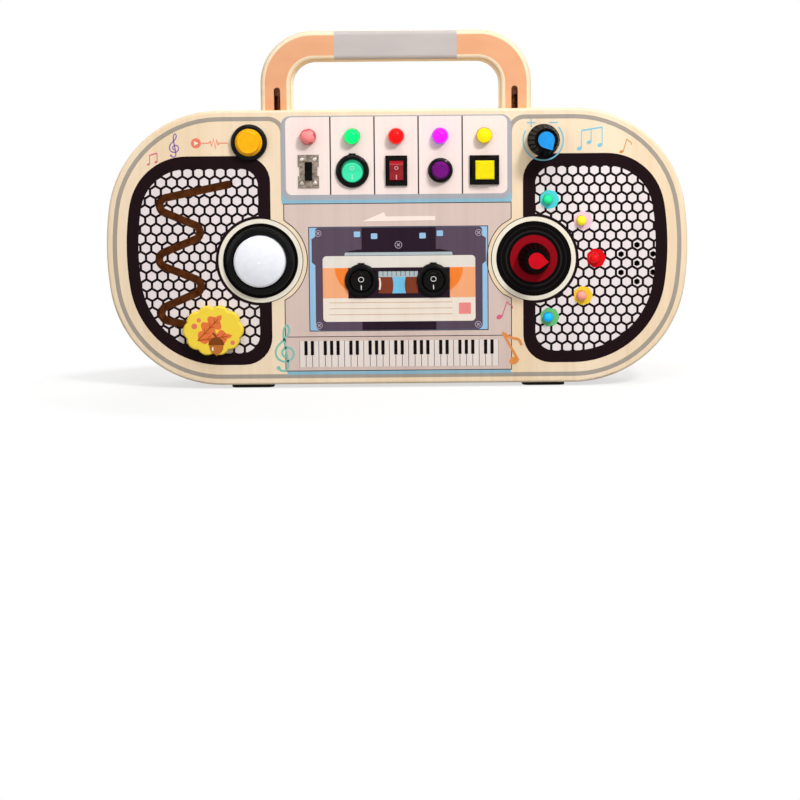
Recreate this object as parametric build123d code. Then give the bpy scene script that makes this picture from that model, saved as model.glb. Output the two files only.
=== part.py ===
from build123d import *
import math
import os

# A wooden busy board shaped like a portable stereo: a flat hollow plywood body with a handle, a
# printed front full of switches, buttons, knobs and lamps, and a screwed back with a battery door.
#
# Every piece is drawn in panel coordinates, in millimetres: x to the right, depth into the body
# from the panel's front face (so what stands proud has a negative depth), and z up from the middle
# of the body. The last step moves all of it so that the origin is under the middle, on the table.

# ------------------------------------------------------------------ wooden body
HALF_WIDTH = 150.0          # middle to the tip of a side
HALF_HEIGHT = 71.0          # middle to the top edge
CORNER_RADIUS = 58.0
SIDE_RADIUS = 150.0         # the bulge of each side
FRONT_THICK = 4.0
CORE_THICK = 28.0
REAR_THICK = 4.0
RING_WIDTH = 7.2            # wall of the ring between front and back
EDGE_ROUND = 1.4
KERF = 0.4                  # saw gap round each inset panel
FIT = 0.3                   # gap round a cap, plunger or lever that slides or rocks
RUNNING = 0.07              # radial clearance of a shaft in its bush
CUT = 1.0                   # how far a cutting tool runs past a face
CORE_END = FRONT_THICK + CORE_THICK
BODY_DEPTH = CORE_END + REAR_THICK
MID_DEPTH = BODY_DEPTH / 2

FOOT_X = 76.0
FOOT_SIZE = (22.0, 28.0)
FOOT_CORNER = 3.0
FOOT_HEIGHT = 2.0

# ------------------------------------------------------------------ handle
HANDLE_WIDTH = 140.6
HANDLE_RISE = 41.0          # above the body
HANDLE_POST = 16.0          # width of each post
HANDLE_BAR = 15.2           # height of the bar
HANDLE_DEPTH = 18.0
HANDLE_CORNER = 27.0
HANDLE_INSIDE = 12.0        # corner radius of the finger opening
HANDLE_ROUND = 2.4
BOLT_INSET = 8.7            # from the outer side of a post
BOLT_X = HANDLE_WIDTH / 2 - BOLT_INSET
BOLT_RADIUS = 1.5
BOLT_SLACK = 0.15
BOLT_HEAD = (2.4, 2.0)      # half the width across its flats, height
BARREL_RADIUS = 2.7
BARREL_LENGTH = 11.0
BARREL_SINK = 1.5           # below the back of the post
BARREL_RISE = 10.3          # above the body
BARREL_SLOT = (0.6, 1.0)    # width, depth of its screwdriver slot
BOLT_ROOM = 1.5             # beyond the end of the bolt

# ------------------------------------------------------------------ back
SCREW_INSET = 59.0          # from the tip of a side
SCREW_X = HALF_WIDTH - SCREW_INSET
SCREW_HEAD = (2.3, 1.9)     # radius, height
SCREW_SHANK = 1.2
SCREW_LENGTH = 10.0
SCREW_SLACK = 0.05
BLOCK_SIZE = (14.0, 10.0, 12.0)  # width, height, depth
DOOR_INSET = 45.1           # from the tip of a side to the middle of the door
DOOR_X = DOOR_INSET - HALF_WIDTH
DOOR_Z = 5.2
DOOR_SIZE = (38.6, 76.6)
DOOR_CORNER = 3.0
DOOR_SCREW_Z = 33.5
DOOR_LEDGE = 4.2            # how far the frame behind the door stands out round its opening
DOOR_FRAME_THICK = 3.0

# ------------------------------------------------------------------ batteries and board
CELL_RADIUS = 7.05
CELL_LENGTH = 49.0
CELL_NUB = (2.7, 1.4)       # radius, height
CELL_GAP = 0.4
HOLDER_WALL = 1.3
HOLDER_END = 2.6            # room for the contact springs at each end
BOARD_SIZE = (72.0, 24.0)
BOARD_INSET = 24.5          # middle of the board above the bottom edge
BOARD_Z = BOARD_INSET - HALF_HEIGHT
BOARD_THICK = 1.6
SPACER_ACROSS = 5.0
SPACER_LENGTH = 4.0
SPACER_INSET = 1.0          # from the board's edge
CHIP = (-12.0, 10.0, 6.0, 1.6)  # x, width, height, rise
SOCKET = (14.0, 7.0, 11.0, 3.0)
CAPACITOR = (27.0, 4.0, 3.0, 7.0)  # x, z from the board's middle, radius, rise

# ------------------------------------------------------------------ lamps
LAMP_PITCH = 22.6           # also the pitch of the switches below
LAMP_INSET = 13.8           # below the top edge
LAMP_Z = HALF_HEIGHT - LAMP_INSET
LAMP_RADIUS = 4.0
LAMP_PROUD = 5.8
SMALL_LAMP_RADIUS = 2.5
SMALL_LAMP_PROUD = 3.8
SMALL_LAMP_RING = 31.3      # from the right-hand knob
SMALL_LAMP_STEP = 38.3      # degrees
LAMP_FLANGE = (0.6, 1.0)    # stands out, thickness
LEG = (0.5, 8.0, 1.27)      # side, length, offset
BLADE = (0.5, 2.0)          # thickness, width of a switch's terminal
BLADE_LENGTH = 5.0

# ------------------------------------------------------------------ round push buttons
YELLOW_INSET = (74.5, 16.5)  # from the tip of a side, below the top edge
YELLOW_X = YELLOW_INSET[0] - HALF_WIDTH
YELLOW_Z = HALF_HEIGHT - YELLOW_INSET[1]
YELLOW_BEZEL = 9.35         # radii, from the bezel in to the flat top of the cap
YELLOW_BARREL = 8.2
YELLOW_SKIRT = 7.0
YELLOW_CAP = 5.85
YELLOW_TRAVEL = 2.0
PURPLE_BEZEL = 6.4
PURPLE_BARREL = 5.7
PURPLE_SKIRT = 4.6
PURPLE_CAP = 3.95
PURPLE_TRAVEL = 1.5
BUTTON_BEZEL_RISE = 2.4
BUTTON_SKIRT_RISE = 0.4     # shoulder of the cap above the bezel
BUTTON_CAP_RISE = 3.0       # top of the cap above the bezel
BUTTON_DEEP = 15.0
BUTTON_NUT = 3.0
BUTTON_FLOOR = 1.0          # bottom of the bore behind the panel, beyond the travel
NUT_WALL = 1.0
BEZEL_LIP = 1.2             # rounding of a bezel's front
CAP_LIP = 0.4

# ------------------------------------------------------------------ square push button
SQUARE_BEZEL = 15.1
SQUARE_BARREL = 12.8
SQUARE_CAP = 9.6
SQUARE_TRAVEL = 1.5
SQUARE_DEEP = 14.0

# ------------------------------------------------------------------ big domed button
SPEAKER_INSET = 79.5        # from the tip of a side
SPEAKER_X = HALF_WIDTH - SPEAKER_INSET  # middle to each printed loudspeaker
SPEAKER_Z = -6.4
DOME_RADIUS = 13.2
DOME_RISE = 5.6             # crown above the bezel
DOME_CROWN = 2.2            # bulge of the crown
DOME_TRAVEL = 3.5
DOME_BEZEL = 17.75
DOME_BEZEL_RISE = 3.4
DOME_BEZEL_ROUND = 2.0
DOME_WALL = 1.3
DOME_SKIN = 1.6
DOME_DEEP = 14.0
DOME_FLOOR = 2.0
DOME_STEM = 2.5
DOME_NUT = (2.4, 4.0)       # wall, thickness
DOME_NUT_NOTCHES = 8
DOME_NUT_NOTCH = (2.4, 1.0)  # width, depth
DOME_LEAD = 0.9             # bevel round the mouth of the bore
SWITCH_SIZE = (19.8, 6.4, 10.0)
SWITCH_ARM = 1.6
SWITCH_BLADE = 3.0

# ------------------------------------------------------------------ knobs
VOLUME_X = -YELLOW_X
VOLUME_Z = YELLOW_Z
VOLUME_POINTS = -60.0       # degrees from 3 o'clock
SELECTOR_POINTS = -7.0
KNOB_RADIUS = 8.25
KNOB_TOP_RADIUS = 5.9
KNOB_PROUD = 16.0
KNOB_OFF_PANEL = 0.7
KNOB_RIM = 2.0              # plain rim behind the ribs
KNOB_GROOVES = 18
KNOB_GROOVE = (0.55, 1.2)   # depth, width
KNOB_NOSE = (0.8, 4.0)      # wall round the pointer of the cap, and its depth
KNOB_CAP_RADIUS = 4.15
KNOB_CAP_REACH = 6.1        # middle of the cap to the tip of its pointer
KNOB_CAP_THICK = 1.1
KNOB_CAP_PROUD = 0.5
SHAFT_RADIUS = 3.0
BUSH_RADIUS = 3.6
BUSH_PROUD = 3.6
POT_RADIUS = 8.1
POT_DEEP = 8.0
POT_NUT = (10.0, 2.0)       # across flats, thickness
POT_WALL = 2.0
POT_STRIP = (13.0, 6.0, 1.6)  # width, height, thickness
POT_PIN = (1.0, 0.8)        # width, thickness
POT_PITCH = 5.0             # from pin to pin
SHAFT_SUNK = 4.0            # from the knob's top to the end of its shaft

# ------------------------------------------------------------------ switches
SWITCH_DROP = 17.7          # below the lamps
SWITCH_Z = LAMP_Z - SWITCH_DROP
REEL_X = 18.6
REEL_Z = -17.0
ROCKER_BEZEL = 8.6
ROCKER_BARREL = 7.4
ROCKER_CAP = 5.9            # radius of the ball the round cap is cut from
ROCKER_RISE = 1.9           # bezel above the panel
ROCKER_SUNK = 1.0           # pivot below the top of the bezel
ROCKER_FACE = 3.2           # fold line of the cap above its pivot
ROCKER_FOLD = 3.0           # slope of each half of the cap, degrees
ROCKER_TILT = 14.0          # degrees each way from level
ROCKER_DEEP = 14.0
ROCKER_POCKET = 6.5
ROCKER_KEY = (3.4, 1.8)
RECT_BEZEL = (11.2, 15.5)
RECT_BARREL = (9.2, 13.4)
RECT_CAP = (7.0, 5.2)       # width, radius of its side
RECT_LIP = 0.7
SLIDE_PLATE = (10.8, 17.1, 0.5)
SLIDE_BODY = (7.6, 12.6, 6.0)
SLIDE_LEVER = (3.3, 5.0, 3.8)  # width, height, proud
SLIDE_TRAVEL = 4.0
SLIDE_POCKET = 4.0
SLIDE_NOTCH = (1.6, 5.0)    # width, height
SLIDE_HOLE = (0.7, 2.1, 1.9)  # radius, distance from the side, from the end
SLIDE_RIDGE = 0.5

# ------------------------------------------------------------------ loudspeaker
VENT_INSET = 26.2           # from the tip of a side
VENT_X = HALF_WIDTH - VENT_INSET
VENT_Z = -9.3
VENT_PITCH = 9.5
VENT_RADIUS = 1.62          # middle to corner of a six-sided vent
CONE_RADIUS = 12.6
CONE_RIM = 1.4
CONE_DEEP = 6.5
BASKET_WALL = 0.8
DUST_CAP = (3.6, 1.4)       # radius, bulge
MAGNET = (8.0, 4.0)         # radius, thickness

# ------------------------------------------------------------------ wavy track and its token
TRACK_BENDS = [(63.8, 33.2), (18.4, 24.0), (55.0, 8.6), (20.5, -5.3),
               (55.0, -19.2), (18.4, -34.6), (54.9, -42.0)]  # in from the tip of the side, up
TRACK = [(inward - HALF_WIDTH, z) for inward, z in TRACK_BENDS]
TRACK_BEND = 4.0
TRACK_WIDTH = 3.8
TOKEN_SIZE = (31.0, 26.0)
TOKEN_THICK = 4.0
TOKEN_LOBES = 10
TOKEN_LOBE = 5.2            # radius
TOKEN_WEB = 1.5             # how far the middle reaches in between the lobes
TOKEN_OFF_PANEL = 0.5
TOKEN_EDGE = 0.6
TOKEN_SCREW = (1.1, 2.4, 1.5)  # shank radius, head radius, head height
TOKEN_BITE = 2.6
SPOOL_FLANGE = (4.5, 1.0)   # radius, thickness
SPOOL_GAP = 0.1

HOLE_SLACK = 0.1            # round a barrel in its panel hole
COS45 = math.sqrt(0.5)

ORIGIN_DEPTH = (BODY_DEPTH - KNOB_PROUD) / 2
ORIGIN_Z = -HALF_HEIGHT - FOOT_HEIGHT


# ------------------------------------------------------------------ ways of making a solid
def slab(sketch, start, end):
    """A sketch in (x, z), cut out of stock that reaches from one depth to another."""
    plane = Plane(origin=(0, end, 0), x_dir=(1, 0, 0), z_dir=(0, -1, 0))
    return extrude(plane * sketch, amount=end - start)


def rod(x, z, start, end, radius):
    return slab(Pos(x, z) * Circle(radius), start, end)


def block(x, z, start, end, width, height):
    return slab(Pos(x, z) * Rectangle(width, height), start, end)


def turned(x, z, start, *steps):
    """Turn a profile of (radius, depth) points on a line into the panel; a pair of points is an arc."""
    edges = []
    here = start
    for step in steps:
        if isinstance(step[0], tuple):
            edges.append(ThreePointArc(here, step[0], step[1]))
            here = step[1]
        else:
            edges.append(Line(here, step))
            here = step
    edges.append(Line(here, start))
    return Pos(x, 0, z) * revolve(make_face(edges), Axis.Y)


def crown_arc(edge, crown):
    """The arc of a ball from an edge point (radius, depth) up to its crown on the axis."""
    reach, low = edge
    bulge = low - crown
    ball = (reach ** 2 + bulge ** 2) / (2 * bulge)
    return (reach / 2, crown + ball - math.sqrt(ball ** 2 - reach ** 2 / 4)), (0, crown)


def eased_lip(radius, top, lip):
    """The two tapers over a lip, from its side up to its front face at depth top."""
    short = lip * (1 - COS45)
    return [(radius, top + lip), (radius - short, top + short), (radius - lip, top)]


def upright(x, depth, low, high, radius):
    """A round bar standing along z."""
    return Pos(x, depth, low) * Cylinder(radius, high - low, align=(Align.CENTER, Align.CENTER, Align.MIN))


def hexagon(across):
    return RegularPolygon(across / 2, 6, major_radius=False)


def blades(x, z, start, spread, length=BLADE_LENGTH):
    """Two flat terminals on the back of a switch."""
    pair = [block(x + side * spread, z, start, start + length, *BLADE) for side in (-1, 1)]
    return pair[0] + pair[1]


# ------------------------------------------------------------------ body
def outline(inset=0.0):
    """The body's outline, drawn in by an even margin: straight, corner arc, side arc, corner arc."""
    half_width = HALF_WIDTH - inset
    half_height = HALF_HEIGHT - inset
    corner = CORNER_RADIUS - inset
    side = SIDE_RADIUS - inset
    side_x = half_width - side
    corner_z = half_height - corner
    corner_x = side_x + math.sqrt((side - corner) ** 2 - corner_z ** 2)
    swing = math.atan2(corner_z, corner_x - side_x)
    halfway = (swing + math.pi / 2) / 2
    top = (corner_x, half_height)
    shoulder = (corner_x + corner * math.cos(halfway), corner_z + corner * math.sin(halfway))
    meet = (side_x + side * math.cos(swing), side * math.sin(swing))
    edges = []
    for left in (1, -1):
        edges.append(Line((-corner_x, left * half_height), (corner_x, left * half_height)))
        edges.append(ThreePointArc((left * meet[0], meet[1]), (left * half_width, 0),
                                   (left * meet[0], -meet[1])))
        for up in (1, -1):
            corners = [(left * px, up * pz) for px, pz in (top, shoulder, meet)]
            edges.append(ThreePointArc(*corners))
    return make_face(edges)


def ring():
    return outline() - outline(RING_WIDTH)


def lamp_row():
    return [step * LAMP_PITCH for step in range(-2, 3)]


def small_lamps():
    places = []
    for step in range(2, -3, -1):
        turn = math.radians(step * SMALL_LAMP_STEP)
        places.append((SPEAKER_X + SMALL_LAMP_RING * math.cos(turn),
                       SPEAKER_Z + SMALL_LAMP_RING * math.sin(turn)))
    return places


def vents():
    places = [(VENT_X, VENT_Z)]
    for step in range(6):
        turn = math.radians(30 + 60 * step)
        places.append((VENT_X + VENT_PITCH * math.cos(turn), VENT_Z + VENT_PITCH * math.sin(turn)))
    return places


def track_sketch():
    """The wavy slot: a bent line of even width with round ends."""
    line = FilletPolyline(*TRACK, radius=TRACK_BEND)
    groove = trace(line, TRACK_WIDTH)
    for end in (TRACK[0], TRACK[-1]):
        groove += Pos(*end) * Circle(TRACK_WIDTH / 2)
    return groove


def panel_holes():
    slide_x, green_x, red_x, purple_x, square_x = lamp_row()
    round_holes = [(YELLOW_X, YELLOW_Z, YELLOW_BARREL),
                   (purple_x, SWITCH_Z, PURPLE_BARREL),
                   (green_x, SWITCH_Z, ROCKER_BARREL),
                   (-REEL_X, REEL_Z, ROCKER_BARREL),
                   (REEL_X, REEL_Z, ROCKER_BARREL),
                   (-SPEAKER_X, SPEAKER_Z, dome_barrel()),
                   (SPEAKER_X, SPEAKER_Z, BUSH_RADIUS),
                   (VOLUME_X, VOLUME_Z, BUSH_RADIUS)]
    round_holes += [(x, LAMP_Z, LAMP_RADIUS) for x in lamp_row()]
    round_holes += [(x, z, SMALL_LAMP_RADIUS) for x, z in small_lamps()]
    holes = [Pos(x, z) * Circle(radius + HOLE_SLACK) for x, z, radius in round_holes]
    square_holes = [(slide_x, SLIDE_BODY[0], SLIDE_BODY[1]), (red_x, *RECT_BARREL),
                    (square_x, SQUARE_BARREL, SQUARE_BARREL)]
    for x, width, height in square_holes:
        holes.append(Pos(x, SWITCH_Z) * Rectangle(width + 2 * HOLE_SLACK, height + 2 * HOLE_SLACK))
    holes += [Pos(x, z) * Rot(0, 0, 30) * RegularPolygon(VENT_RADIUS, 6) for x, z in vents()]
    holes.append(track_sketch())
    return holes


def front_panel():
    panel = slab(outline(), 0, FRONT_THICK)
    panel = fillet(panel.faces().sort_by(Axis.Y)[0].edges(), EDGE_ROUND)
    for hole in panel_holes():
        panel -= slab(hole, -CUT, FRONT_THICK + CUT)
    return panel


def screw_places():
    edge = HALF_HEIGHT - RING_WIDTH - KERF / 2
    corners = [(x, z) for x in (-SCREW_X, SCREW_X) for z in (-edge, edge)]
    return corners + [(DOOR_X, DOOR_Z - DOOR_SCREW_Z), (DOOR_X, DOOR_Z + DOOR_SCREW_Z)]


def screw_form(x, z, slack=0.0):
    """A countersunk screw from the back, or with some slack the hole that takes it."""
    head, sink = SCREW_HEAD
    neck = SCREW_SHANK + slack
    return turned(x, z, (0, BODY_DEPTH), (head + slack, BODY_DEPTH), (neck, BODY_DEPTH - sink),
                  (neck, BODY_DEPTH - SCREW_LENGTH), (0, BODY_DEPTH - SCREW_LENGTH))


def drilled(piece, places):
    for x, z in places:
        piece -= screw_form(x, z, SCREW_SLACK)
    return piece


def wood_screws():
    return [screw_form(x, z) for x, z in screw_places()]


def frame_core():
    core = slab(ring(), FRONT_THICK, CORE_END)
    under = HALF_HEIGHT - RING_WIDTH
    for x in bolt_places():
        core -= upright(x, MID_DEPTH, under - CUT, HALF_HEIGHT + CUT, BOLT_RADIUS + BOLT_SLACK)
    return drilled(core, screw_places()[:4])


def rear_rim():
    rim = slab(ring(), CORE_END, BODY_DEPTH)
    back = rim.faces().sort_by(Axis.Y)[-1]
    rim = fillet(back.outer_wire().edges(), EDGE_ROUND)
    return drilled(rim, screw_places()[:4])


def corner_blocks():
    width, height, deep = BLOCK_SIZE
    blocks = []
    for x, z in screw_places()[:4]:
        up = math.copysign(1, z)
        stock = block(x, z - up * height / 2 + up * RING_WIDTH / 2, CORE_END - deep, CORE_END,
                      width, height + RING_WIDTH)
        blocks.append(drilled(stock & slab(outline(RING_WIDTH), CORE_END - deep, CORE_END), [(x, z)]))
    return blocks


def door_sketch(grow=0.0):
    width, height = DOOR_SIZE
    return Pos(DOOR_X, DOOR_Z) * RectangleRounded(width + 2 * grow, height + 2 * grow, DOOR_CORNER + grow)


def back_panel():
    panel = slab(outline(RING_WIDTH + KERF) - door_sketch(KERF), CORE_END, BODY_DEPTH)
    return drilled(panel, screw_places()[:4])


def battery_door():
    return drilled(slab(door_sketch(), CORE_END, BODY_DEPTH), screw_places()[4:])


def holder_size():
    width = 4 * CELL_RADIUS + 2 * CELL_GAP + 2 * HOLDER_WALL
    height = CELL_LENGTH + CELL_NUB[1] + 2 * HOLDER_END + 2 * HOLDER_WALL
    return width, height


def battery_door_frame():
    """The plate glued behind the back: its ledge carries the door, its opening takes the holder."""
    width, height = holder_size()
    opening = Pos(DOOR_X, DOOR_Z) * Rectangle(width + 2 * HOLE_SLACK, height + 2 * HOLE_SLACK)
    frame = slab(door_sketch(DOOR_LEDGE) - opening, CORE_END - DOOR_FRAME_THICK, CORE_END)
    inside = slab(outline(RING_WIDTH + HOLE_SLACK), 0, CORE_END)
    return drilled(frame & inside, screw_places()[4:])


def holder_depths():
    rear = CORE_END - CELL_GAP
    return rear - 2 * CELL_RADIUS - CELL_GAP - HOLDER_WALL, rear


def battery_holder():
    width, height = holder_size()
    start, end = holder_depths()
    inside = (width - 2 * HOLDER_WALL, height - 2 * HOLDER_WALL)
    tray = block(DOOR_X, DOOR_Z, start, end, width, height)
    tray -= block(DOOR_X, DOOR_Z, start + HOLDER_WALL, end + CUT, *inside)
    # finger notches in the long walls, to lift the cells out
    notch = block(DOOR_X, DOOR_Z, start + CELL_RADIUS, end + CUT, width + CUT, height / 4)
    return tray - notch


def cells():
    start, end = holder_depths()
    depth = start + HOLDER_WALL + CELL_GAP / 2 + CELL_RADIUS
    found = []
    for side in (-1, 1):
        x = DOOR_X + side * (CELL_RADIUS + CELL_GAP / 2)
        low = DOOR_Z - (CELL_LENGTH + CELL_NUB[1]) / 2
        cell = upright(x, depth, low, low + CELL_LENGTH, CELL_RADIUS)
        cell += upright(x, depth, low + CELL_LENGTH, low + CELL_LENGTH + CELL_NUB[1], CELL_NUB[0])
        if side < 0:
            middle = Axis((x, depth, DOOR_Z), (0, 1, 0))
            cell = cell.rotate(middle, 180)
        found.append(cell)
    return found


def rubber_feet():
    feet = []
    for side in (-1, 1):
        pad = Pos(side * FOOT_X, MID_DEPTH) * RectangleRounded(*FOOT_SIZE, FOOT_CORNER)
        feet.append(Pos(0, 0, ORIGIN_Z) * extrude(pad, amount=FOOT_HEIGHT))
    return feet


# ------------------------------------------------------------------ handle
def bolt_places():
    return [-BOLT_X, BOLT_X]


def handle_depths():
    return MID_DEPTH - HANDLE_DEPTH / 2, MID_DEPTH + HANDLE_DEPTH / 2


def arch(width, rise, corner):
    shape = Pos(0, HALF_HEIGHT + rise / 2) * Rectangle(width, rise)
    return fillet(shape.vertices().group_by(Axis.Y)[-1], corner)


def handle():
    """One arch of plywood, with a cross hole and an open channel in each post for its bolt."""
    front, rear = handle_depths()
    shape = arch(HANDLE_WIDTH, HANDLE_RISE, HANDLE_CORNER)
    shape -= arch(HANDLE_WIDTH - 2 * HANDLE_POST, HANDLE_RISE - HANDLE_BAR, HANDLE_INSIDE)
    solid = slab(shape, front, rear)
    faces = solid.faces().sort_by(Axis.Y)
    edges = [edge for face in (faces[0], faces[-1]) for edge in face.edges()
             if edge.center().Z > HALF_HEIGHT + HOLE_SLACK]
    solid = fillet(edges, HANDLE_ROUND)
    channel = 2 * (BOLT_RADIUS + BOLT_SLACK)
    top = HALF_HEIGHT + BARREL_RISE
    for x in bolt_places():
        solid -= block(x, HALF_HEIGHT + BARREL_RISE / 2, front - CUT, MID_DEPTH, channel, BARREL_RISE)
        solid -= rod(x, top, front - CUT, MID_DEPTH, channel / 2)
        solid -= upright(x, MID_DEPTH, HALF_HEIGHT - CUT, top + BARREL_RADIUS + BOLT_ROOM, channel / 2)
        solid -= rod(x, top, barrel_depths()[0] - BOLT_SLACK, rear + CUT, BARREL_RADIUS + BOLT_SLACK)
    return solid


def barrel_depths():
    rear = handle_depths()[1] - BARREL_SINK
    return rear - BARREL_LENGTH, rear


def handle_barrel_nuts():
    start, end = barrel_depths()
    top = HALF_HEIGHT + BARREL_RISE
    reach = BARREL_RADIUS + CUT
    width, deep = BARREL_SLOT
    nuts = []
    for x in bolt_places():
        nut = rod(x, top, start, end, BARREL_RADIUS)
        nut -= upright(x, MID_DEPTH, top - reach, top + reach, BOLT_RADIUS)
        nut -= block(x, top, end - deep, end + CUT, 2 * reach, width)
        nuts.append(nut)
    return nuts


def handle_bolts():
    radius, rise = BOLT_HEAD
    under = HALF_HEIGHT - RING_WIDTH
    bolts = []
    for x in bolt_places():
        bolt = Pos(x, MID_DEPTH, under - rise) * extrude(hexagon(2 * radius), amount=rise)
        bolt += upright(x, MID_DEPTH, under, HALF_HEIGHT + BARREL_RISE + BARREL_RADIUS, BOLT_RADIUS)
        bolts.append(bolt)
    return bolts


# ------------------------------------------------------------------ lamps
def lamp(x, z, radius, proud):
    """A moulded lamp pushed in from behind: a domed column on a flange, with two legs."""
    stand, thick = LAMP_FLANGE
    rear = FRONT_THICK + thick
    flange = radius + stand
    shoulder = (radius, radius - proud)
    body = turned(x, z, (0, rear), (flange, rear), (flange, FRONT_THICK), (radius, FRONT_THICK),
                  shoulder, crown_arc(shoulder, -proud))
    side, length, offset = LEG
    for way in (-1, 1):
        body += block(x + way * offset, z, rear, rear + length, side, side)
    return body


# ------------------------------------------------------------------ push buttons
def round_button(x, z, bezel, barrel, skirt, cap, travel):
    """Housing, stepped cap and nut of a round button."""
    top = -BUTTON_BEZEL_RISE
    floor = FRONT_THICK + travel + BUTTON_FLOOR
    bore = skirt + FIT
    housing = turned(x, z, (0, BUTTON_DEEP), (barrel, BUTTON_DEEP), (barrel, 0), (bezel, 0),
                     *eased_lip(bezel, top, BEZEL_LIP), (bore, top), (bore, floor), (0, floor))
    housing += blades(x, z, BUTTON_DEEP, barrel / 2)
    rear = floor - travel - FIT
    step = top - BUTTON_SKIRT_RISE
    front = top - BUTTON_CAP_RISE
    button = turned(x, z, (0, rear), (skirt, rear), (skirt, step + CAP_LIP),
                    (skirt - CAP_LIP, step), (cap, step), (cap, front + CAP_LIP),
                    (cap - CAP_LIP, front), (0, front))
    nut = slab(Pos(x, z) * hexagon(2 * (barrel + NUT_WALL)) - Pos(x, z) * Circle(barrel),
               FRONT_THICK, FRONT_THICK + BUTTON_NUT)
    return housing, button, nut


def square_button(x, z):
    """A square housing that snaps in, and its cap with a bevelled edge."""
    top = -BUTTON_BEZEL_RISE
    floor = FRONT_THICK + SQUARE_TRAVEL + BUTTON_FLOOR
    bore = SQUARE_CAP + 2 * FIT
    bezel = block(x, z, top, 0, SQUARE_BEZEL, SQUARE_BEZEL)
    bezel = chamfer(bezel.faces().sort_by(Axis.Y)[0].edges(), BEZEL_LIP)
    housing = bezel + block(x, z, 0, SQUARE_DEEP, SQUARE_BARREL, SQUARE_BARREL)
    housing -= block(x, z, top - CUT, floor, bore, bore)
    housing += blades(x, z, SQUARE_DEEP, SQUARE_BARREL / 3)
    front = top - BUTTON_CAP_RISE
    button = block(x, z, front, floor - SQUARE_TRAVEL - FIT, SQUARE_CAP, SQUARE_CAP)
    button = chamfer(button.faces().sort_by(Axis.Y)[0].edges(), CAP_LIP)
    return housing, button


def dome_barrel():
    return DOME_RADIUS + FIT + DOME_WALL


def dome_housing():
    """Bezel and barrel in one, open at the front, with two arms behind that hold the switch."""
    x, z = -SPEAKER_X, SPEAKER_Z
    bore = DOME_RADIUS + FIT
    barrel = dome_barrel()
    top = -DOME_BEZEL_RISE
    floor = DOME_DEEP - DOME_FLOOR
    stem = DOME_STEM + FIT
    body = turned(x, z, (stem, DOME_DEEP), (barrel, DOME_DEEP), (barrel, 0), (DOME_BEZEL, 0),
                  *eased_lip(DOME_BEZEL, top, DOME_BEZEL_ROUND), (bore + DOME_LEAD, top),
                  (bore, top + DOME_LEAD), (bore, floor), (stem, floor))
    width, height, deep = SWITCH_SIZE
    for side in (-1, 1):
        body += block(x + side * (width + SWITCH_ARM) / 2, z, floor, microswitch_depth() + deep,
                      SWITCH_ARM, height)
    return body


def microswitch_depth():
    """Just behind the stem when the dome is pressed right in."""
    return stem_end() + DOME_TRAVEL + FIT


def stem_end():
    return DOME_DEEP - FIT


def dome_plunger():
    """A crowned cap, hollow behind, with a stem that reaches through the floor of the housing."""
    crown = -DOME_BEZEL_RISE - DOME_RISE
    edge = (DOME_RADIUS - DOME_LEAD, crown + DOME_CROWN)
    skirt = DOME_DEEP - DOME_FLOOR - DOME_TRAVEL - FIT
    inside = edge[1] + DOME_LEAD + DOME_SKIN
    return turned(-SPEAKER_X, SPEAKER_Z, (0, stem_end()), (DOME_STEM, stem_end()), (DOME_STEM, inside),
                  (DOME_RADIUS - DOME_SKIN, inside), (DOME_RADIUS - DOME_SKIN, skirt),
                  (DOME_RADIUS, skirt), (DOME_RADIUS, edge[1] + DOME_LEAD), edge, crown_arc(edge, crown))


def dome_nut():
    """A ring nut with finger notches."""
    wall, thick = DOME_NUT
    width, deep = DOME_NUT_NOTCH
    barrel = dome_barrel()
    face = Circle(barrel + wall)
    for step in range(DOME_NUT_NOTCHES):
        turn = Rot(0, 0, 360 * step / DOME_NUT_NOTCHES)
        face -= turn * Pos(barrel + wall, 0) * Rectangle(2 * deep, width)
    return slab(Pos(-SPEAKER_X, SPEAKER_Z) * (face - Circle(barrel)), FRONT_THICK, FRONT_THICK + thick)


def microswitch():
    x, z = -SPEAKER_X, SPEAKER_Z
    width, height, deep = SWITCH_SIZE
    start = microswitch_depth()
    body = block(x, z, start, start + deep, width, height)
    return body + blades(x, z, start + deep, width / 3, SWITCH_BLADE)


# ------------------------------------------------------------------ knobs
def potentiometer(x, z):
    """A sealed can with a threaded bush through the panel, and a strip with three pins below."""
    rear = FRONT_THICK + POT_DEEP
    width, height, thick = POT_STRIP
    strip_z = z - POT_RADIUS - height / 4
    can = rod(x, z, FRONT_THICK, rear, POT_RADIUS) + rod(x, z, -BUSH_PROUD, FRONT_THICK, BUSH_RADIUS)
    can += block(x, strip_z, FRONT_THICK, FRONT_THICK + thick, width, height)
    for step in (-1, 0, 1):
        can += block(x + step * POT_PITCH, strip_z - height / 3, FRONT_THICK, rear, *POT_PIN)
    return can - rod(x, z, -BUSH_PROUD - CUT, rear - POT_WALL, SHAFT_RADIUS + RUNNING)


def pot_nut(x, z):
    across, thick = POT_NUT
    return slab(Pos(x, z) * (hexagon(across) - Circle(BUSH_RADIUS)), -thick, 0)


def shaft(x, z):
    return rod(x, z, shaft_front(), FRONT_THICK + POT_DEEP - POT_WALL - FIT, SHAFT_RADIUS)


def shaft_front():
    return -KNOB_PROUD + SHAFT_SUNK


def teardrop(x, z, points, grow=0.0):
    """A disc drawn out to a point on one side."""
    radius = KNOB_CAP_RADIUS + grow
    reach = KNOB_CAP_REACH + grow
    touch = math.acos(radius / reach)
    side = (radius * math.cos(touch), radius * math.sin(touch))
    point = make_face(Polyline((0, 0), (side[0], -side[1]), (reach, 0), side, close=True))
    return Pos(x, z) * Rot(0, 0, points) * (Circle(radius) + point)


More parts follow.
